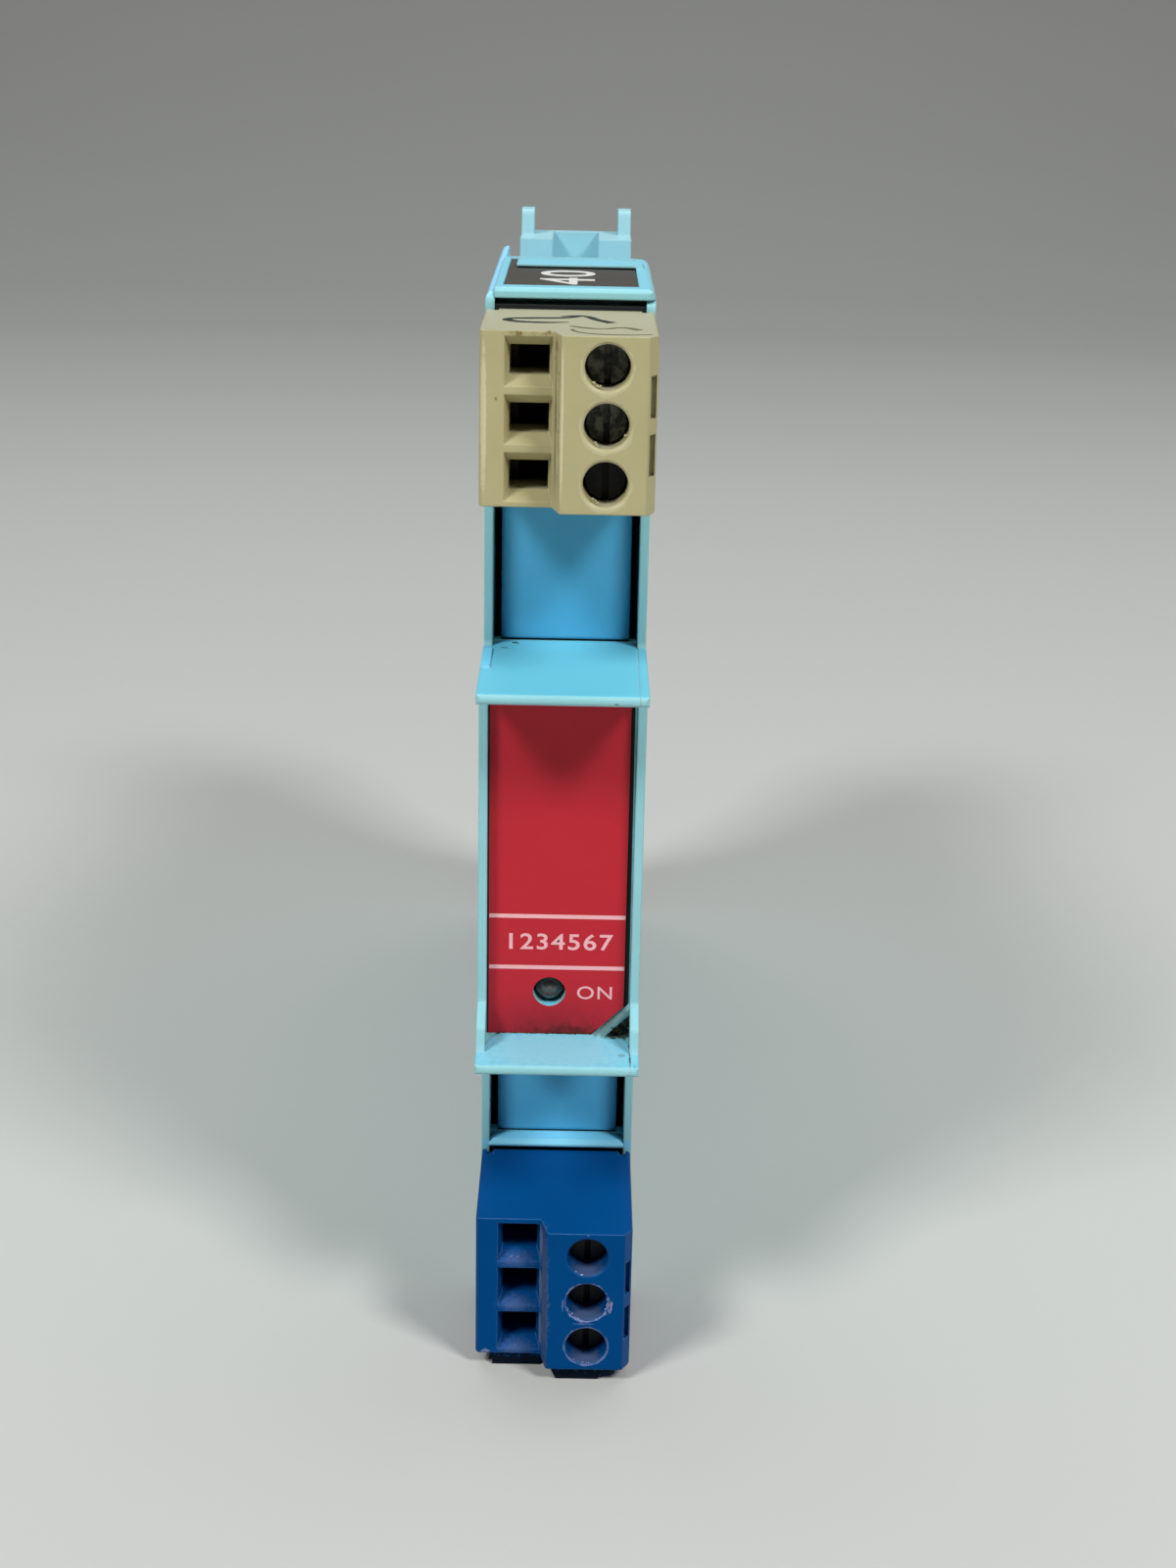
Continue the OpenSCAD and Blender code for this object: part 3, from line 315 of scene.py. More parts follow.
def mixed(tree, mask, under, over):
    """The colour under, covered by the colour over where the mask is 1."""
    made = put(tree, "ShaderNodeMix", {"data_type": "RGBA"})
    factor, first_colour, second_colour = made.inputs[0], made.inputs[6], made.inputs[7]
    for socket, value in ((factor, mask), (first_colour, under), (second_colour, over)):
        feed(tree, socket, value)
    return made.outputs[2]


def marked(tree, colour, over, middle, half_widths, **shape):
    """A colour with one ragged oval patch of another, its middle and half widths in millimetres."""
    patch = use(tree, spot, Middle=mm(*middle), Half_Widths=mm(*half_widths), **shape)
    return mixed(tree, patch["Mask"], colour, over)


def set_surface(tree, shader, grain, colour, depth, normal=None):
    """Feeds a shader its colour, its changing roughness and the bump of its grain."""
    relief = put(tree, "ShaderNodeBump", Strength=0.35, Distance=depth, Height=grain["Height"])
    if normal is not None:
        tree.links.new(normal, relief.inputs["Normal"])
    tree.links.new(colour, shader.inputs["Base Color"])
    tree.links.new(grain["Roughness"], shader.inputs["Roughness"])
    tree.links.new(relief.outputs["Normal"], shader.inputs["Normal"])


def top_light_mask(tree):
    """Mask of the faces that look up, where a tone is painted for the light on the tops."""
    normal = put(tree, "ShaderNodeNewGeometry").outputs["Normal"]
    height = put(tree, "ShaderNodeSeparateXYZ", Vector=normal).outputs["Z"]
    return stretched(tree, height, 0.8, 0.98, smooth=True)


def case_finish():
    """Pale cyan plastic, painted bluer where it looks up for the light on its tops, pale along its edges
    partly from rubbing and partly as painted highlights, with painted patches of light and a painted glint,
    and soiled in its corners.
    """
    made, tree, shader = new_finish("case plastic")
    grain = use(tree, mould_grain, Colour=case_front, Grain_Scale=2600.0, Mottle=0.035, Rough=0.42)
    # The tops get a bluer tone as painted light.
    colour = mixed(tree, top_light_mask(tree), grain["Colour"], case_top_light_tone)
    # A brighter blue band along the top of the left wall is painted light.
    colour = marked(tree, colour, left_wall_top_light, (-7.4, -23, 106.2), (1.1, 24, 2.4), Fade=0.25, Ragged=0.05)
    # A bright patch at the left end of the upper ledge is a painted glint.
    colour = marked(tree, colour, ledge_end_glint, (-7.45, -48.4, 72.2), (0.75, 3.9, 0.5), Fade=0.15, Ragged=0.1)
    # The pale along the edges is partly rubbed wear and partly a painted highlight of the rounded edges.
    edge = use(tree, edge_wear_and_highlight, Radius=edge_radius, Wear=0.55, Break_Scale=700.0)
    colour = mixed(tree, edge["Mask"], colour, case_edge_wear_and_highlight)
    dirt = use(tree, dirt_and_shade, Reach=0.9 * MM, Amount=0.4, Patch_Scale=650.0)
    colour = mixed(tree, dirt["Mask"], colour, corner_film)
    colour = marked(tree, colour, ledge_film, (0, -57, 35.2), (15, 9, 0.5), Fade=0.4, Ragged=0.15,
                    Strength=0.5)
    colour = marked(tree, colour, ridge_grey, (5.4, -53.4, 36.4), (2.4, 1.0, 2.4), Fade=0.3, Ragged=0.15,
                    Strength=0.75)
    # A brighter blue over the shelf top is painted light.
    colour = marked(tree, colour, shelf_top_light, (0, -45, shelf_height), (15, 5, 0.9), Fade=0.3, Ragged=0.1,
                    Strength=0.8)
    for middle, half_widths, strength in (
            ((6.5, -52.9, 35.3), (1.7, 1.3, 1.4), 0.9), ((7.05, -58.6, 34.9), (0.1, 1.5, 0.3), 0.9),
            ((7.0, -55.4, 34.9), (0.1, 0.7, 0.2), 0.7), ((6.3, -57.6, 34.9), (0.5, 0.35, 0.2), 0.35),
            ((4.95, -60.4, 71.42), (0.26, 0.3, 0.1), 0.8), ((7.5, -59.9, 34.6), (0.2, 0.5, 0.4), 0.7)):
        colour = marked(tree, colour, case_dirt, middle, half_widths, Fade=0.4, Ragged=0.5,
                        Strength=strength)
    set_surface(tree, shader, grain, colour, 0.02 * MM, edge["Normal"])
    shader.inputs["Specular IOR Level"].default_value = 0.45
    return made


def dress(node, finish):
    """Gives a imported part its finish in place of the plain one."""
    mesh = parts[node].data
    mesh.materials.clear()
    mesh.materials.append(finish)


case_plastic = case_finish()
for shell in ("case_base", "case_cover"):
    dress(shell, case_plastic)

# Dirt on the ledges, and painted shade beside the label
# Crumbs of dark dust lie at the back of the upper ledge. A crust has packed into the corner under the
# label's cut edge and along the label's foot. Near-black strips in the seams at the label's two sides are
# painted shade.
upper_ledge, lower_ledge, label_wall = 72.1, 34.9, -53.05
crumb_black, crumb_brown = srgb(20, 20, 14), srgb(98, 82, 46)


def crumb_finish():
    """Dry packed dirt, from black to a dull brown."""
    made, tree, shader = new_finish("packed dirt")
    mix = put(tree, "ShaderNodeTexNoise", Vector=on_piece(tree), Scale=1600.0, Detail=4.0)
    tint = put(tree, "ShaderNodeValToRGB", Fac=mix.outputs["Fac"])
    for stop, place, colour in zip(tint.color_ramp.elements, (0.42, 0.62), (crumb_black, crumb_brown)):
        stop.position = place
        stop.color = colour
    grain = use(tree, mould_grain, Colour=tint.outputs["Color"], Grain_Scale=5000.0, Mottle=0.1, Rough=0.9)
    set_surface(tree, shader, grain, grain["Colour"], 0.05 * MM)
    return made


def ink_finish(name, colour, rough):
    """Screen-printed ink, slightly uneven."""
    made, tree, shader = new_finish(name)
    grain = use(tree, mould_grain, Colour=colour, Grain_Scale=3000.0, Mottle=0.03, Rough=rough)
    set_surface(tree, shader, grain, grain["Colour"], 0.004 * MM)
    return made


def add_piece(name, mesh, finish, body):
    """Links a new piece, gives it its finish and lets it ride on a body."""
    made = bpy.data.objects.new(name, mesh)
    bpy.context.scene.collection.objects.link(made)
    made.data.materials.append(finish)
    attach(made, body)
    return made


def mesh_of(name, work):
    """The mesh of a piece that was put together in work."""
    mesh = bpy.data.meshes.new(name)
    work.to_mesh(mesh)
    work.free()
    return mesh


def crumbs(name, places, finish, body="case"):
    """Small lumps on a body: each place holds x, y, z and a width in millimetres."""
    dice = random.Random(5)
    work = bmesh.new()
    for x, y, z, width in places:
        lump = bmesh.ops.create_icosphere(work, subdivisions=1, radius=width / 2 * MM)["verts"]
        stretch = [dice.uniform(0.6, 1.4) for axis in range(3)]
        for corner in lump:
            dented = [value * wide * dice.uniform(0.8, 1.2) for value, wide in zip(corner.co, stretch)]
            corner.co = Vector(dented) + mm(x, y, z)
    add_piece(name, mesh_of(name, work), finish, body)


dice = random.Random(11)
packed_dirt = crumb_finish()
black_dirt_and_seam_shade = ink_finish("black dirt and seam shade", srgb(16, 18, 16), 0.8)
loose = [(-4.85 + dice.uniform(-0.25, 0.45), -42.95 + dice.uniform(-0.2, 0.2), upper_ledge + 0.02,
          dice.uniform(0.08, 0.22)) for crumb in range(9)]
row = [(-6.1 + 0.09 * crumb, -44.7, upper_ledge, 0.12) for crumb in range(7)]
crumbs("upper_ledge_crumbs", loose + row, black_dirt_and_seam_shade)
crust = []
for crumb in range(110):
    x = dice.uniform(4.3, 6.95)
    crust.append((x, dice.uniform(-53.1, -52.7), lower_ledge + dice.uniform(0, min(x - 4.1, 1.9)) * 0.8,
                  dice.uniform(0.14, 0.34)))
crumbs("corner_dirt", crust, packed_dirt)
crumbs("label_foot_dirt", [
    (dice.uniform(-6.9, 3.8), label_wall, lower_ledge + dice.uniform(0, 0.08), dice.uniform(0.06, 0.17))
    for crumb in range(90)], packed_dirt)
# The near-black strips in the seams beside the label are painted shade.
label_side_shade_mesh = bpy.data.meshes.new("label_side_shade")
label_side_shade_mesh.from_pydata(
    [(x * MM, y * MM, z * MM) for x, y, z in (
        (-7.04, -53.02, 34.95), (-6.86, -53.02, 34.95), (-6.9, -53.02, 71.05), (-7.04, -53.02, 71.05),
        (6.46, -52.73, 37.6), (6.93, -52.73, 37.8), (6.8, -52.73, 71.05), (6.46, -52.73, 71.05))],
    [], [(0, 1, 2, 3), (4, 5, 6, 7)])
add_piece("label_side_shade", label_side_shade_mesh, black_dirt_and_seam_shade, "case")

# Front label and its print
# A crimson printed film stuck to the wall between the ledges, with a round hole for the lamp and one corner
# cut off. Two fine pale rules cross it, with plain figures between them and the word ON beside the lamp.
label_red, print_pink = srgb(196, 42, 55), srgb(252, 186, 190)
label_grime, foot_brown, label_low_darkening = srgb(60, 22, 20), srgb(70, 36, 24), srgb(92, 30, 34)
label_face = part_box("front_label")[0].y
ink_thick = 0.008 * MM
rule_left, rule_right, rule_height = -6.82 * MM, 6.40 * MM, 0.41
capital_to_font_size = 0.729


def label_finish():
    """Crimson ink under a satin film, with brownish soiling along its lower edge, and darker over a broad
    band at the bottom.
    """
    made, tree, shader = new_finish("label film")
    grain = use(tree, mould_grain, Colour=label_red, Grain_Scale=1800.0, Mottle=0.03, Rough=0.38)
    dirt = use(tree, dirt_and_shade, Reach=0.8 * MM, Amount=0.6, Patch_Scale=500.0)
    colour = mixed(tree, dirt["Mask"], grain["Colour"], label_grime)
    colour = marked(tree, colour, foot_brown, (1.5, -53, 34.9), (6.8, 1, 1.4), Fade=0.95, Ragged=0.35,
                    Strength=0.8)
    # A broad darkening towards the label's bottom.
    colour = marked(tree, colour, label_low_darkening, (-1, -53, 35), (9, 2, 5), Fade=1.0, Ragged=0.1, Strength=0.45)
    set_surface(tree, shader, grain, colour, 0.01 * MM)
    shader.inputs["Specular IOR Level"].default_value = 0.15
    return made


def ink_strip(work, x0, x1, z0, z1, y, thick):
    """A thin bar of ink on an upright face."""
    outline = ((x0, z0), (x1, z0), (x1, z1), (x0, z1))
    corners = [work.verts.new((x, y - dy, z)) for dy in (0, thick) for x, z in outline]
    for face in ((0, 1, 2, 3), (7, 6, 5, 4), (0, 4, 5, 1), (1, 5, 6, 2), (2, 6, 7, 3), (3, 7, 4, 0)):
        work.faces.new([corners[i] for i in face])


def seat(piece, body, place):
    """Puts a curve where it lies on a body, before it rides on it again."""
    piece.parent = None
    piece.matrix_world = place
    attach(piece, body)


def printed(name, words, height, place, turn, finish, wide, bold):
    """Plain characters on the case, widened, with capitals of one height, from a lower left corner on."""
    curve = bpy.data.curves.new(name, "FONT")
    curve.body = words
    curve.size = height / capital_to_font_size
    curve.space_character = 1.12
    curve.offset = bold
    curve.extrude = 0.006 * MM
    made = add_piece(name, curve, finish, "case")
    seat(made, "case", Matrix.Translation(place) @ turn @ Matrix.Diagonal((wide, 1, 1, 1)))


dress("front_label", label_finish())
pale_ink = ink_finish("pale print", print_pink, 0.5)
work = bmesh.new()
for foot in (47.25, 41.85):
    ink_strip(work, rule_left, rule_right, foot * MM, (foot + rule_height) * MM, label_face - 0.002 * MM,
              ink_thick)
add_piece("label_rules", mesh_of("label_rules", work), pale_ink, "case")
upright = Matrix.Rotation(math.radians(90), 4, "X")
printed("label_figures", "1234567", 1.7 * MM, (-5.4 * MM, label_face - ink_thick, 44.0 * MM), upright,
        pale_ink, wide=1.18, bold=0.03 * MM)
printed("lamp_word", "ON", 1.4 * MM, (1.75 * MM, label_face - ink_thick, 38.75 * MM), upright,
        pale_ink, wide=1.15, bold=0.01 * MM)

# Status lamp
# A domed lamp of dark clear resin behind the label's hole. It is pushed through a tube of the case from
# behind, and its two square legs are soldered to the board.


def lamp_finish():
    """Dark polished resin."""
    made, tree, shader = new_finish("lamp resin")
    grain = use(tree, mould_grain, Colour=srgb(66, 68, 66), Grain_Scale=900.0, Mottle=0.05, Rough=0.16,
                Rough_Change=0.06)
    set_surface(tree, shader, grain, grain["Colour"], 0.001 * MM)
    shader.inputs["Coat Weight"].default_value = 0.6
    shader.inputs["Coat Roughness"].default_value = 0.05
    return made


dress("status_lamp", lamp_finish())

# Bay blanks
# Two blue moulded plates that close the unused connector openings above and below the label. Each stands
# on two small feet, with a dark gap on each side. A near-black strip in the slot under each is painted
# shade, and each is darkened with painted shade in its corners.
blank_blue, blank_corner_shade = srgb(82, 176, 218), srgb(30, 62, 84)
shade_foot, shade_top, shade_depth, shade_thick = 0.02 * MM, 0.22 * MM, 0.2 * MM, 0.02 * MM


def blank_finish():
    """Blue plastic, darkened with painted shade in patches along its corners."""
    made, tree, shader = new_finish("blank plastic")
    grain = use(tree, mould_grain, Colour=blank_blue, Grain_Scale=2200.0, Mottle=0.06, Rough=0.5)
    # The darkening in the blank's corners is painted shade.
    dirt = use(tree, dirt_and_shade, Reach=1.4 * MM, Amount=0.35, Patch_Scale=420.0)
    colour = mixed(tree, dirt["Mask"], grain["Colour"], blank_corner_shade)
    edge = use(tree, edge_wear_and_highlight, Radius=0.5 * MM, Wear=0.1, Break_Scale=500.0)
    set_surface(tree, shader, grain, colour, 0.02 * MM, edge["Normal"])
    return made


blank_plastic = blank_finish()
slot_shade_ink = ink_finish("slot shade", srgb(20, 24, 26), 0.8)
for blank in ("upper_bay_blank", "lower_bay_blank"):
    dress(blank, blank_plastic)
    low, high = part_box(blank)
    work = bmesh.new()
    # A near-black strip just inside the slot under the blank is painted shade.
    ink_strip(work, low.x, high.x, low.z + shade_foot, low.z + shade_top, low.y + shade_depth, shade_thick)
    foot_shade_piece = blank + "_foot_shade"
    add_piece(foot_shade_piece, mesh_of(foot_shade_piece, work), slot_shade_ink, "case")

# Headers and plug noses
# The shrouds that the plugs push into, and the noses on the plugs, are moulded in plain black plastic. The
# pins in the shrouds are square, tin plated, and bent down through the board.


def black_finish():
    """Black moulded plastic with a little dust."""
    made, tree, shader = new_finish("black plastic")
    grain = use(tree, mould_grain, Colour=srgb(30, 34, 36), Grain_Scale=2400.0, Mottle=0.08, Rough=0.5)
    edge = use(tree, edge_wear_and_highlight, Radius=0.15 * MM, Wear=0.4, Break_Scale=900.0)
    colour = mixed(tree, edge["Mask"], grain["Colour"], srgb(84, 88, 90))
    set_surface(tree, shader, grain, colour, 0.02 * MM, edge["Normal"])
    return made


def metal_finish(name, colour, rough, tarnish, amount):
    """Plated or drawn metal with a cloudy tarnish."""
    made, tree, shader = new_finish(name)
    grain = use(tree, mould_grain, Colour=colour, Grain_Scale=5200.0, Mottle=0.05, Rough=rough,
                Rough_Change=0.3)
    dull = use(tree, dirt_and_shade, Reach=0.6 * MM, Amount=amount, Patch_Scale=2200.0)
    set_surface(tree, shader, grain, mixed(tree, dull["Mask"], grain["Colour"], tarnish), 0.004 * MM)
    shader.inputs["Metallic"].default_value = 1.0
    return made


black_plastic = black_finish()
tinned = metal_finish("tin plate", srgb(196, 194, 186), 0.34, srgb(96, 92, 84), 0.5)
for side in ("safe", "hazard"):
    dress(f"{side}_header", black_plastic)
    dress(f"{side}_plug_nose", black_plastic)
    dress(f"{side}_header_pins", tinned)

# Upper terminal plug
# A three-way screw terminal plug moulded in beige plastic. It has brown stains by its upper wire funnel and
# the strokes of an old pen mark across its top. Its top tone, a pale strip on the step's edge, and part of
# the pale on its edges and hole rims are painted light, and its dark screw bores are painted shade.
plug_face, screw_x = -61, 3.4
safe_ways = (101.78, 96.7, 91.62)
stroke_flatness = 0.06
plug_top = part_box("safe_plug_body")[1].z
beige, beige_top_light_tone, beige_edge_wear_and_highlight = srgb(183, 174, 129), srgb(172, 167, 138), srgb(226, 218, 178)
beige_film, beige_bore_shade, beige_rim_wear_and_highlight = srgb(96, 86, 48), srgb(26, 25, 20), srgb(222, 216, 184)
side_pale, step_dark, step_edge_highlight = srgb(213, 203, 162), srgb(124, 114, 76), srgb(222, 208, 168)
rust_line, rust_brown = srgb(112, 84, 38), srgb(118, 92, 44)


def rim_wear_and_highlight_group():
    """Mask of the ragged rim of a round hole along y, given by the middle and the radius of its mouth, for
    wear and for a painted highlight of its countersink.
    """
    tree, given, result = effect(
        "rim wear and highlight",
        [("Middle", "Vector", (0, 0, 0)), ("Radius", "Float", 0.002), ("Reach", "Float", 0.0003),
         ("Ragged", "Float", 0.5), ("Strength", "Float", 1.0), ("Break Scale", "Float", 900.0)],
        [("Mask", "Float")])
    where = on_piece(tree)
    away = calculate_vector(tree, "SUBTRACT", where, given["Middle"])
    split = put(tree, "ShaderNodeSeparateXYZ", Vector=away).outputs
    flat = put(tree, "ShaderNodeCombineXYZ", X=split["X"], Z=split["Z"]).outputs["Vector"]
    off = calculate(tree, "SUBTRACT", calculate_vector(tree, "LENGTH", flat), given["Radius"])
    side = put(tree, "ShaderNodeCombineXYZ", X=off, Y=split["Y"]).outputs["Vector"]
    distance = calculate(tree, "DIVIDE", calculate_vector(tree, "LENGTH", side), given["Reach"])
    bent = frayed(tree, distance, where, given, detail=5.0, roughness=0.65)
    inside = stretched(tree, bent, 1.0, 0.4, smooth=True)
    give(tree, result, Mask=calculate(tree, "MULTIPLY", inside, given["Strength"], clamp=True))
    return tree


rim_wear_and_highlight = rim_wear_and_highlight_group()


def rimmed(tree, colour, over, height, **shape):
    """A colour with another on the ragged rim of the screw hole at one height, in millimetres, partly wear
    and partly a painted highlight.
    """
    rim = use(tree, rim_wear_and_highlight, Middle=mm(screw_x, plug_face, height), **shape)
    return mixed(tree, rim["Mask"], colour, over)


def beige_finish():
    """Beige plastic, paler where it is rubbed, with brown stains and specks; its top tone, the pale step
    edge and part of the pale edges and hole rims are painted light, and its dark screw bores are painted
    shade.
    """
    made, tree, shader = new_finish("beige plastic")
    grain = use(tree, mould_grain, Colour=beige, Grain_Scale=2000.0, Mottle=0.035, Rough=0.44)
    # The pale along the edges is partly rubbed wear and partly a painted highlight.
    edge = use(tree, edge_wear_and_highlight, Radius=0.22 * MM, Wear=0.75, Break_Scale=800.0)
    # The tops get a more neutral tone as painted light.
    colour = mixed(tree, top_light_mask(tree), grain["Colour"], beige_top_light_tone)
    colour = mixed(tree, edge["Mask"], colour, beige_edge_wear_and_highlight)
    dirt = use(tree, dirt_and_shade, Reach=1.0 * MM, Amount=0.5, Patch_Scale=900.0)
    colour = mixed(tree, dirt["Mask"], colour, beige_film)
    # The pale strip along the step's edge is a painted highlight.
    for middle, half_widths, over, strength in (
            ((-7.42, -59.2, 96.7), (0.37, 2.6, 8.6), side_pale, 0.9),
            ((-1.05, -59.3, 96.7), (0.13, 0.7, 7.4), step_dark, 0.7),
            ((-0.5, -60.9, 96.7), (0.17, 0.35, 8.4), step_edge_highlight, 0.9),
            ((-3.6, -59.6, 103.87), (2.6, 0.8, 0.2), rust_line, 0.9)):
        colour = marked(tree, colour, over, middle, half_widths, Fade=0.35, Ragged=0.12, Strength=strength)
    for middle, half_widths, strength in (
            ((-3.6, -59.6, 104.2), (2.6, 2.2, 0.3), 0.95), ((-1.75, -59.6, 104.4), (0.6, 2.0, 0.4), 0.9),
            ((-1.05, -59.6, 103.3), (0.22, 1.6, 1.2), 0.6), ((-6.7, -58.6, 104.5), (1.0, 0.9, 0.3), 0.35),
            ((-6.3, -58.3, 98.5), (0.2, 0.5, 0.22), 0.9), ((-0.75, -60.4, 100.4), (0.2, 1.0, 0.4), 0.4)):
        colour = marked(tree, colour, rust_brown, middle, half_widths, Fade=0.8, Ragged=0.4,
                        Strength=strength)
    for way in safe_ways:
        # The screw bores are darkened as painted shade.
        colour = marked(tree, colour, beige_bore_shade, (screw_x, -56.9, way), (2.6, 3.4, 2.2), Fade=0.12,
                        Ragged=0.18, Strength=0.95, Break_Scale=700.0)
        # The pale rim is partly worn and partly a painted highlight of the countersink.
        colour = rimmed(tree, colour, beige_rim_wear_and_highlight, way - 0.15, Radius=2.2 * MM, Reach=0.2 * MM, Ragged=0.6,
                        Strength=0.3, Break_Scale=800.0)
    set_surface(tree, shader, grain, colour, 0.02 * MM, edge["Normal"])
    return made


def pen_stroke(name, points, width, finish):
    """A flat pen stroke through points of the plug's top, in millimetres from the left and from the face."""
    curve = bpy.data.curves.new(name, "CURVE")
    curve.dimensions = "3D"
    curve.bevel_depth = width / 2 * MM
    curve.bevel_resolution = 1
    line = curve.splines.new("BEZIER")
    line.bezier_points.add(len(points) - 1)
    for knot, (x, y, thickness) in zip(line.bezier_points, points):
        knot.co = (x * MM, (y + plug_face) * MM, 0)
        knot.handle_left_type = knot.handle_right_type = "AUTO"
        knot.radius = thickness
    made = add_piece(name, curve, finish, "safe_plug")
    flattened = Matrix.Diagonal((1, 1, stroke_flatness, 1))
    seat(made, "safe_plug", Matrix.Translation((0, 0, plug_top)) @ flattened)


beige_plastic = beige_finish()
dress("safe_plug_body", beige_plastic)
dice = random.Random(3)
torn = []
for way, places in zip(safe_ways, (
        ((2.5, -1.62), (2.75, -1.76), (2.2, -1.4)),
        ((2.4, -1.56), (2.6, -1.7), (5.1, -0.85)),
        ((2.45, -1.55), (2.7, -1.68), (2.3, -1.35)))):
    for x, z in places:
        torn += [(x + dice.uniform(-0.12, 0.12), -60.75 + dice.uniform(-0.05, 0.25),
                  way + z + dice.uniform(0, 0.12), dice.uniform(0.14, 0.26)) for shred in range(4)]
crumbs("safe_hole_burrs", torn, beige_plastic, "safe_plug")
pen_ink = ink_finish("pen ink", srgb(16, 26, 14), 0.75)
faded_ink = ink_finish("faded pen ink", srgb(106, 102, 74), 0.6)
pen_stroke("pen_loop", [
    (-0.1, 8.5, 0.6), (-2.6, 8.1, 1.4), (-5.3, 9.0, 1.4), (-5.5, 10.1, 1.1), (-3.6, 10.8, 1.5),
    (-0.3, 11.6, 1.3), (1.0, 12.9, 1.0)], 0.75, pen_ink)
pen_stroke("pen_tail", [
    (-0.8, 12.4, 0.6), (1.0, 12.9, 1.1), (2.5, 10.4, 1.2), (3.8, 8.6, 1.6)], 0.7, pen_ink)
pen_stroke("pen_faint_1", [
    (0.1, 6.1, 0.8), (1.6, 5.0, 1.3), (3.0, 4.7, 0.8), (4.7, 5.6, 1.2), (6.2, 4.3, 1.3)], 0.7, faded_ink)
pen_stroke("pen_faint_2", [
    (0.2, 4.3, 0.7), (0.7, 2.6, 1.0), (2.1, 1.5, 1.4), (4.8, 1.2, 1.3), (7.2, 1.7, 0.8)], 0.5, faded_ink)

# Lower terminal plug
# The same plug in deep blue, with two ribs under it. Screwdrivers have chewed the rims of its screw holes,
# and stray wires have scratched the floors of its funnels pale. Part of the pale on its rims and edges is
# painted highlight, and its screw bores and the ribs under it are painted dark as shade.
top_way, middle_way, low_way = 14.38, 9.3, 4.22
funnel_x, funnel_floor = -3.7, 1.93
deep_blue, blue_edge_wear_and_highlight, blue_sheen = srgb(0, 70, 130), srgb(90, 138, 190), srgb(20, 150, 255)
floor_grey, bore_grey, blue_bore_shade = srgb(74, 100, 150), srgb(88, 96, 120), srgb(8, 10, 14)
lilac_wear_and_rim_highlight, lip_grey = srgb(144, 152, 190), srgb(126, 130, 148)
step_grey, rim_pink, underside_shade = srgb(92, 98, 122), srgb(176, 146, 170), srgb(14, 18, 24)


def blue_finish():
    """Deep blue plastic, whitened on rims, funnel floors and along the step, the rims and edges partly by
    painted highlights, and painted dark as shade in its screw bores and on the ribs under it.
    """
    made, tree, shader = new_finish("blue plastic")
    grain = use(tree, mould_grain, Colour=deep_blue, Grain_Scale=2000.0, Mottle=0.04, Rough=0.4)
    # The pale along the edges is partly rubbed wear and partly a painted highlight.
    edge = use(tree, edge_wear_and_highlight, Radius=0.25 * MM, Wear=0.8, Break_Scale=1100.0)
    colour = mixed(tree, edge["Mask"], grain["Colour"], blue_edge_wear_and_highlight)
    depth = put(tree, "ShaderNodeSeparateXYZ", Vector=on_piece(tree)).outputs["Y"]
    recess = stretched(tree, depth, plug_face * MM, (plug_face + 0.2) * MM)
    for way, rubbed, torn in ((top_way, 0.0, 0.5), (middle_way, 0.7, 0.8), (low_way, 0.45, 0.6)):
        colour = marked(tree, colour, floor_grey, (funnel_x, -58.4, way - 2.1), (2.5, 2.8, 1.1), Fade=0.95,
                        Ragged=0.2, Strength=0.9, Break_Scale=2600.0)
        dust = use(tree, spot, Middle=mm(screw_x, -60.4, way - 2.2), Half_Widths=mm(2.4, 2.6, 1.9), Fade=0.6,
                   Ragged=0.25, Strength=0.62, Break_Scale=1500.0)
        colour = mixed(tree, calculate(tree, "MULTIPLY", dust["Mask"], recess), colour, bore_grey)
        # The screw bores are darkened as painted shade.
        colour = marked(tree, colour, blue_bore_shade, (screw_x, -56.6, way + 0.4), (2.6, 3.7, 2.2), Fade=0.3,
                        Ragged=0.15, Strength=1.0, Break_Scale=700.0)
        # The pale rim is partly worn and partly a painted highlight of the countersink.
        colour = rimmed(tree, colour, lilac_wear_and_rim_highlight, way, Radius=2.17 * MM, Reach=0.13 * MM, Ragged=torn,
                        Strength=rubbed, Break_Scale=1300.0)
        colour = marked(tree, colour, lip_grey, (-1.3, -59.0, way + 0.3), (0.3, 1.7, 2.2), Fade=0.5,
                        Ragged=0.15, Strength=0.6, Break_Scale=1300.0)
    for middle, half_widths, over, strength in (
            ((-0.85, -59.8, 9.0), (0.6, 2.5, 9.5), step_grey, 0.5),
            ((5.85, -61, 9.0), (0.16, 0.4, 0.5), rim_pink, 0.8),
            ((5.7, -61, 8.3), (0.2, 0.3, 0.35), lilac_wear_and_rim_highlight, 0.6),
            ((3.0, -61, 6.85), (1.3, 0.3, 0.1), lilac_wear_and_rim_highlight, 0.3),
            ((1.0, -61, 9.0), (0.1, 0.3, 0.8), lilac_wear_and_rim_highlight, 0.35),
            ((3.4, -60.9, 16.9), (0.14, 0.5, 0.1), lilac_wear_and_rim_highlight, 0.8),
            ((-6.8, -58.3, 1.7), (0.5, 0.4, 0.3), lilac_wear_and_rim_highlight, 0.6),
            # The near-black at the plug's foot is painted shade on the ribs.
            ((0, -52, 0.3), (30, 40, 1.3), underside_shade, 1.0)):
        colour = marked(tree, colour, over, middle, half_widths, Fade=0.4, Ragged=0.35, Strength=strength,
                        Break_Scale=2200.0)
    set_surface(tree, shader, grain, colour, 0.02 * MM, edge["Normal"])
    shader.inputs["Specular IOR Level"].default_value = 0.15
    shader.inputs["Specular Tint"].default_value = blue_sheen
    return made


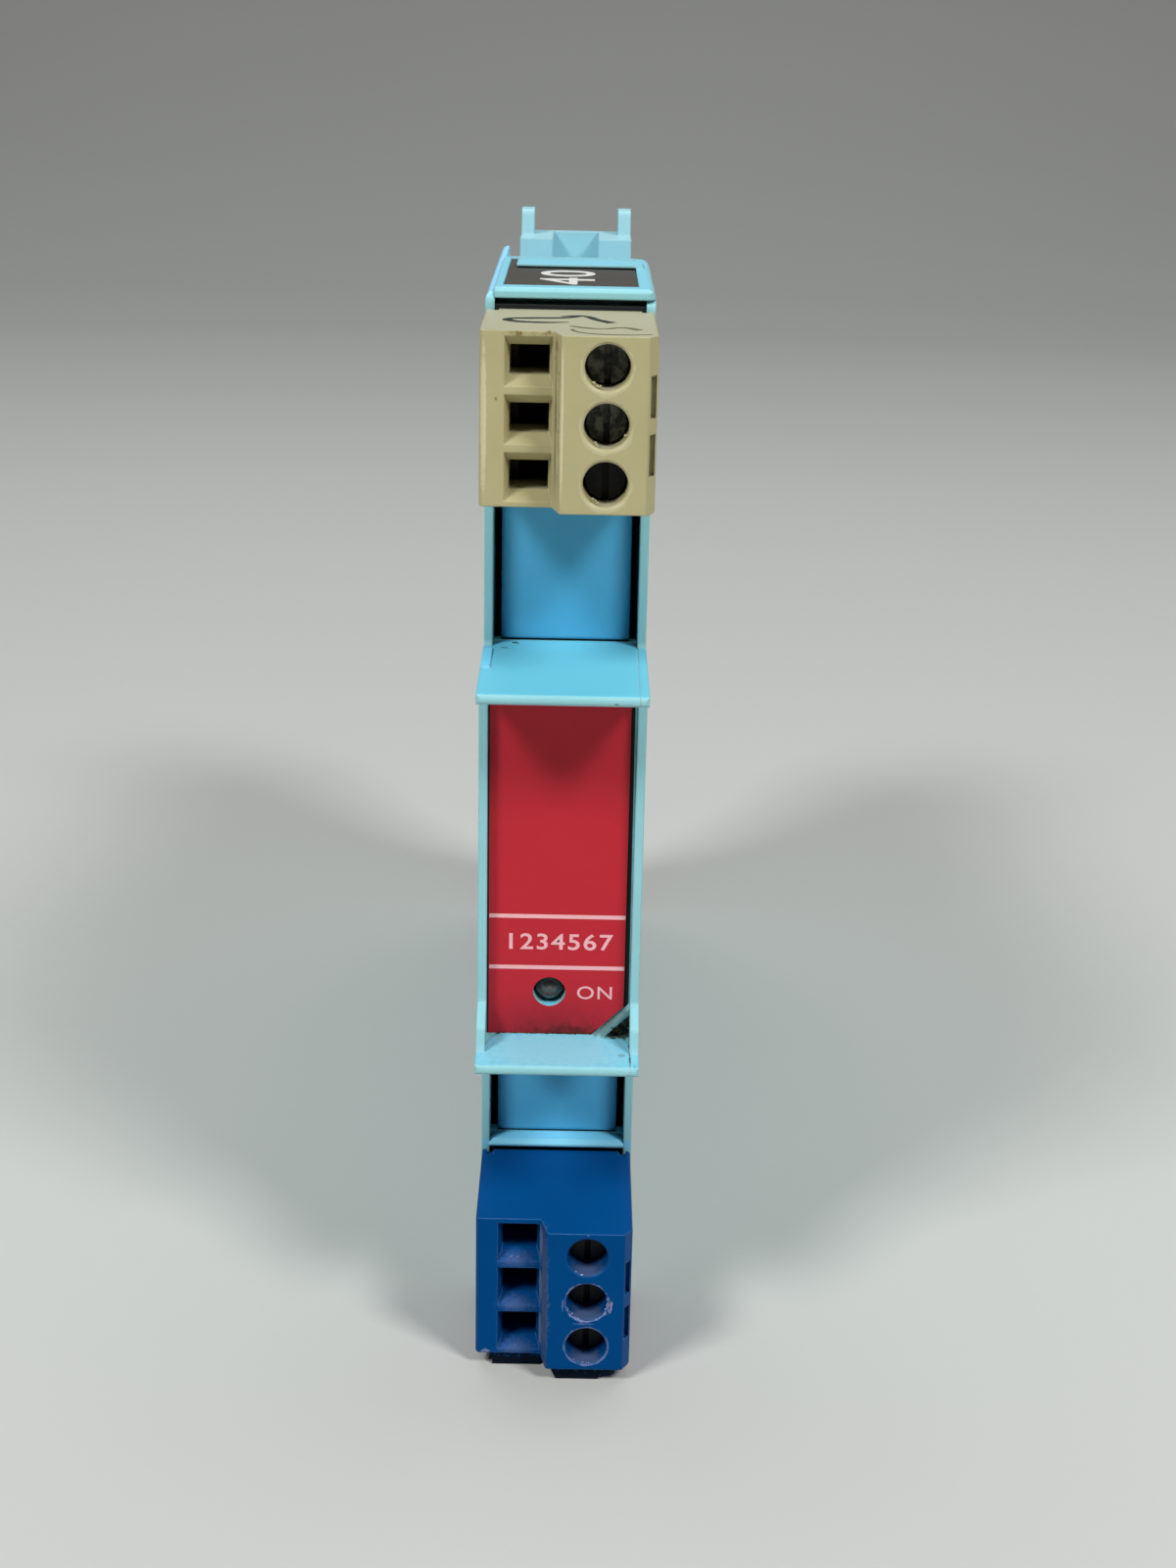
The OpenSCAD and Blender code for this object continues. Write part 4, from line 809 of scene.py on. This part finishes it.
dress("hazard_plug_body", blue_finish())
dice = random.Random(8)
chips = []
for way, first, last, count in (
        (middle_way, -25, 12, 16), (middle_way, 200, 262, 8),
        (low_way, 232, 300, 14), (top_way, 228, 262, 7)):
    for chip in range(count):
        turn = math.radians(dice.uniform(first, last))
        out = dice.uniform(2.0, 2.14)
        chips.append((screw_x + out * math.cos(turn), dice.uniform(-60.88, -60.7),
                      way + out * math.sin(turn), dice.uniform(0.07, 0.17)))
for way, count in ((top_way, 9), (middle_way, 2), (low_way, 4)):
    for chip in range(count):
        chips.append((dice.uniform(-5.0, -3.2), dice.uniform(-58.2, -57.4),
                      way - funnel_floor + dice.uniform(0, 0.1), dice.uniform(0.05, 0.1)))
rubbed_plastic = ink_finish("rubbed plastic", srgb(176, 176, 206), 0.5)
crumbs("hazard_plug_chips", chips, rubbed_plastic, "hazard_plug")

# Terminal clamps
# In each terminal a captive slotted screw draws a nut forward, and the nut tips a brass lever whose jaw
# presses the wire against a tin-plated copper bar. The screw heads have gone dull and dark; the blue plug's
# heads and the lowest beige head sit deep in shade and are painted near black as that shade.
grease, corner_grease = srgb(20, 20, 17), srgb(8, 8, 7)


def blotch_group():
    """Mask of uneven blotches spread over the whole surface."""
    tree, given, result = effect(
        "blotch",
        [("Scale", "Float", 900.0), ("Cover", "Float", 0.5), ("Strength", "Float", 1.0)],
        [("Mask", "Float")])
    cloud = noise(tree, on_piece(tree), given["Scale"], detail=5.0, roughness=0.6)
    above = calculate(tree, "SUBTRACT", cloud, calculate(tree, "SUBTRACT", 0.7, given["Cover"]))
    inside = stretched(tree, above, 0.0, 0.15, smooth=True)
    give(tree, result, Mask=calculate(tree, "MULTIPLY", inside, given["Strength"], clamp=True))
    return tree


blotch = blotch_group()


def grimed_finish(name, colour, cover):
    """Screw steel under a crust of old grease, which is cracked and rubbed off in places."""
    made, tree, shader = new_finish(name)
    grain = use(tree, mould_grain, Colour=colour, Grain_Scale=3200.0, Mottle=0.1, Rough=0.42,
                Rough_Change=0.3)
    crust = use(tree, blotch, Scale=700.0, Cover=cover, Strength=0.9)
    corner = use(tree, dirt_and_shade, Reach=0.6 * MM, Amount=0.9, Patch_Scale=1500.0)
    soiled = mixed(tree, crust["Mask"], grain["Colour"], grease)
    set_surface(tree, shader, grain, mixed(tree, corner["Mask"], soiled, corner_grease), 0.03 * MM)
    shader.inputs["Metallic"].default_value = 0.6
    return made


dull_steel = grimed_finish("dulled screw steel", srgb(84, 86, 78), 0.27)
# A near-black copy of the screw steel, painted as the shade on heads deep in their holes.
shaded_screw_steel = grimed_finish("screw steel painted dark as shade", srgb(9, 9, 9), 0.3)
old_tin = metal_finish("tarnished tin plate", srgb(60, 56, 48), 0.5, srgb(20, 18, 16), 0.9)
bright_steel = metal_finish("zinc plate", srgb(188, 188, 182), 0.32, srgb(110, 106, 98), 0.4)
brass = metal_finish("lever brass", srgb(206, 176, 108), 0.34, srgb(110, 84, 44), 0.5)
for side in ("safe", "hazard"):
    for way in (1, 2, 3):
        dress(f"{side}_screw_{way}", shaded_screw_steel if side == "hazard" or way == 3 else dull_steel)
        dress(f"{side}_nut_{way}", bright_steel)
        dress(f"{side}_lever_{way}", brass)
    dress(f"{side}_plug_contacts", old_tin)

# Tag holder and tag
# A holder of the case's pale plastic clips over the hood, with a lip at its rear. The dark film tag slides
# in under the lip and carries plain white figures.
tag_dark, holder_top_light_tone, holder_worn = srgb(62, 56, 48), srgb(132, 206, 226), srgb(190, 228, 222)
tag_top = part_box("tag_card")[1].z


def tag_finish():
    """Dark printed film, satin, with a fine grain."""
    made, tree, shader = new_finish("tag film")
    grain = use(tree, mould_grain, Colour=tag_dark, Grain_Scale=1500.0, Mottle=0.06, Rough=0.4)
    set_surface(tree, shader, grain, grain["Colour"], 0.01 * MM)
    return made


def holder_finish():
    """The case's pale plastic, clean, painted bluer where it looks up for the light on its tops, and pale
    along its edges.
    """
    made, tree, shader = new_finish("holder plastic")
    grain = use(tree, mould_grain, Colour=case_front, Grain_Scale=2600.0, Mottle=0.04, Rough=0.36)
    # The tops get a bluer tone as painted light.
    colour = mixed(tree, top_light_mask(tree), grain["Colour"], holder_top_light_tone)
    edge = use(tree, edge_wear_and_highlight, Radius=edge_radius, Wear=0.4, Break_Scale=700.0)
    colour = mixed(tree, edge["Mask"], colour, holder_worn)
    set_surface(tree, shader, grain, colour, 0.02 * MM, edge["Normal"])
    return made


dress("tag_holder", holder_finish())
dress("tag_card", tag_finish())
white_ink = ink_finish("white print", srgb(214, 212, 206), 0.5)
sideways = Matrix.Rotation(math.radians(90), 4, "Z")
printed("tag_figures", "40", 5.4 * MM, (2.15 * MM, -39.3 * MM, tag_top + 0.004 * MM), sideways, white_ink,
        wide=1.5, bold=0.08 * MM)

# Bus socket
# A pale blue moulded socket on the deck behind the hood, open at the top, with a block and an ear on each
# side that guide the supply bus connector. Two pegs hold it in the deck.


def socket_finish():
    """Pale blue plastic, clean."""
    made, tree, shader = new_finish("socket plastic")
    grain = use(tree, mould_grain, Colour=srgb(158, 206, 216), Grain_Scale=2200.0, Mottle=0.03, Rough=0.45)
    edge = use(tree, edge_wear_and_highlight, Radius=0.3 * MM, Wear=0.2, Break_Scale=700.0)
    colour = mixed(tree, edge["Mask"], grain["Colour"], srgb(196, 232, 238))
    set_surface(tree, shader, grain, colour, 0.02 * MM, edge["Normal"])
    return made


dress("bus_socket", socket_finish())

# Rail latch and its spring
# A black sliding latch at the rear, held up against the mounting rail by a small coiled spring of bright
# wire in its window. The coil's lower end rests on the case, and the latch presses its upper end down.
dress("rail_latch", black_plastic)
dress("latch_spring", metal_finish("spring wire", srgb(176, 176, 172), 0.25, srgb(90, 88, 82), 0.3))
latch_coil = bpy.data.objects.new("latch_coil", parts["latch_spring"].data.copy())
bpy.context.scene.collection.objects.link(latch_coil)
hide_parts("latch_spring")
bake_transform(latch_coil)

# Circuit board and its parts
# A green board on four pegs of the case carries the isolating transformer, the capacitors, resistors,
# diodes, fuse and chips. The closed case hides them.


def body_finish(name, colour, rough):
    """Moulded or dipped body of an electronic part."""
    made, tree, shader = new_finish(name)
    grain = use(tree, mould_grain, Colour=colour, Grain_Scale=2600.0, Mottle=0.07, Rough=rough)
    set_surface(tree, shader, grain, grain["Colour"], 0.02 * MM)
    return made


for node, name, colour, rough in (
        ("circuit_board", "board lacquer", srgb(34, 104, 62), 0.3),
        ("transformer_core", "ferrite", srgb(62, 62, 64), 0.55),
        ("transformer_bobbin", "bobbin plastic", srgb(222, 214, 186), 0.45),
        ("electrolytic_capacitors", "capacitor sleeve", srgb(40, 52, 110), 0.3),
        ("film_capacitors", "film capacitor case", srgb(176, 62, 40), 0.35),
        ("power_resistors", "resistor lacquer", srgb(122, 164, 174), 0.4),
        ("shunt_diodes", "diode body", srgb(34, 34, 36), 0.45),
        ("safety_fuse", "fuse case", srgb(214, 196, 86), 0.4)):
    dress(node, body_finish(name, colour, rough))
dress("transformer_winding", metal_finish("winding wire", srgb(190, 112, 62), 0.35, srgb(120, 60, 30), 0.4))
chip_body = body_finish("chip epoxy", srgb(36, 36, 38), 0.5)
for node in ("control_chips", "output_transistor"):
    dress(node, chip_body)
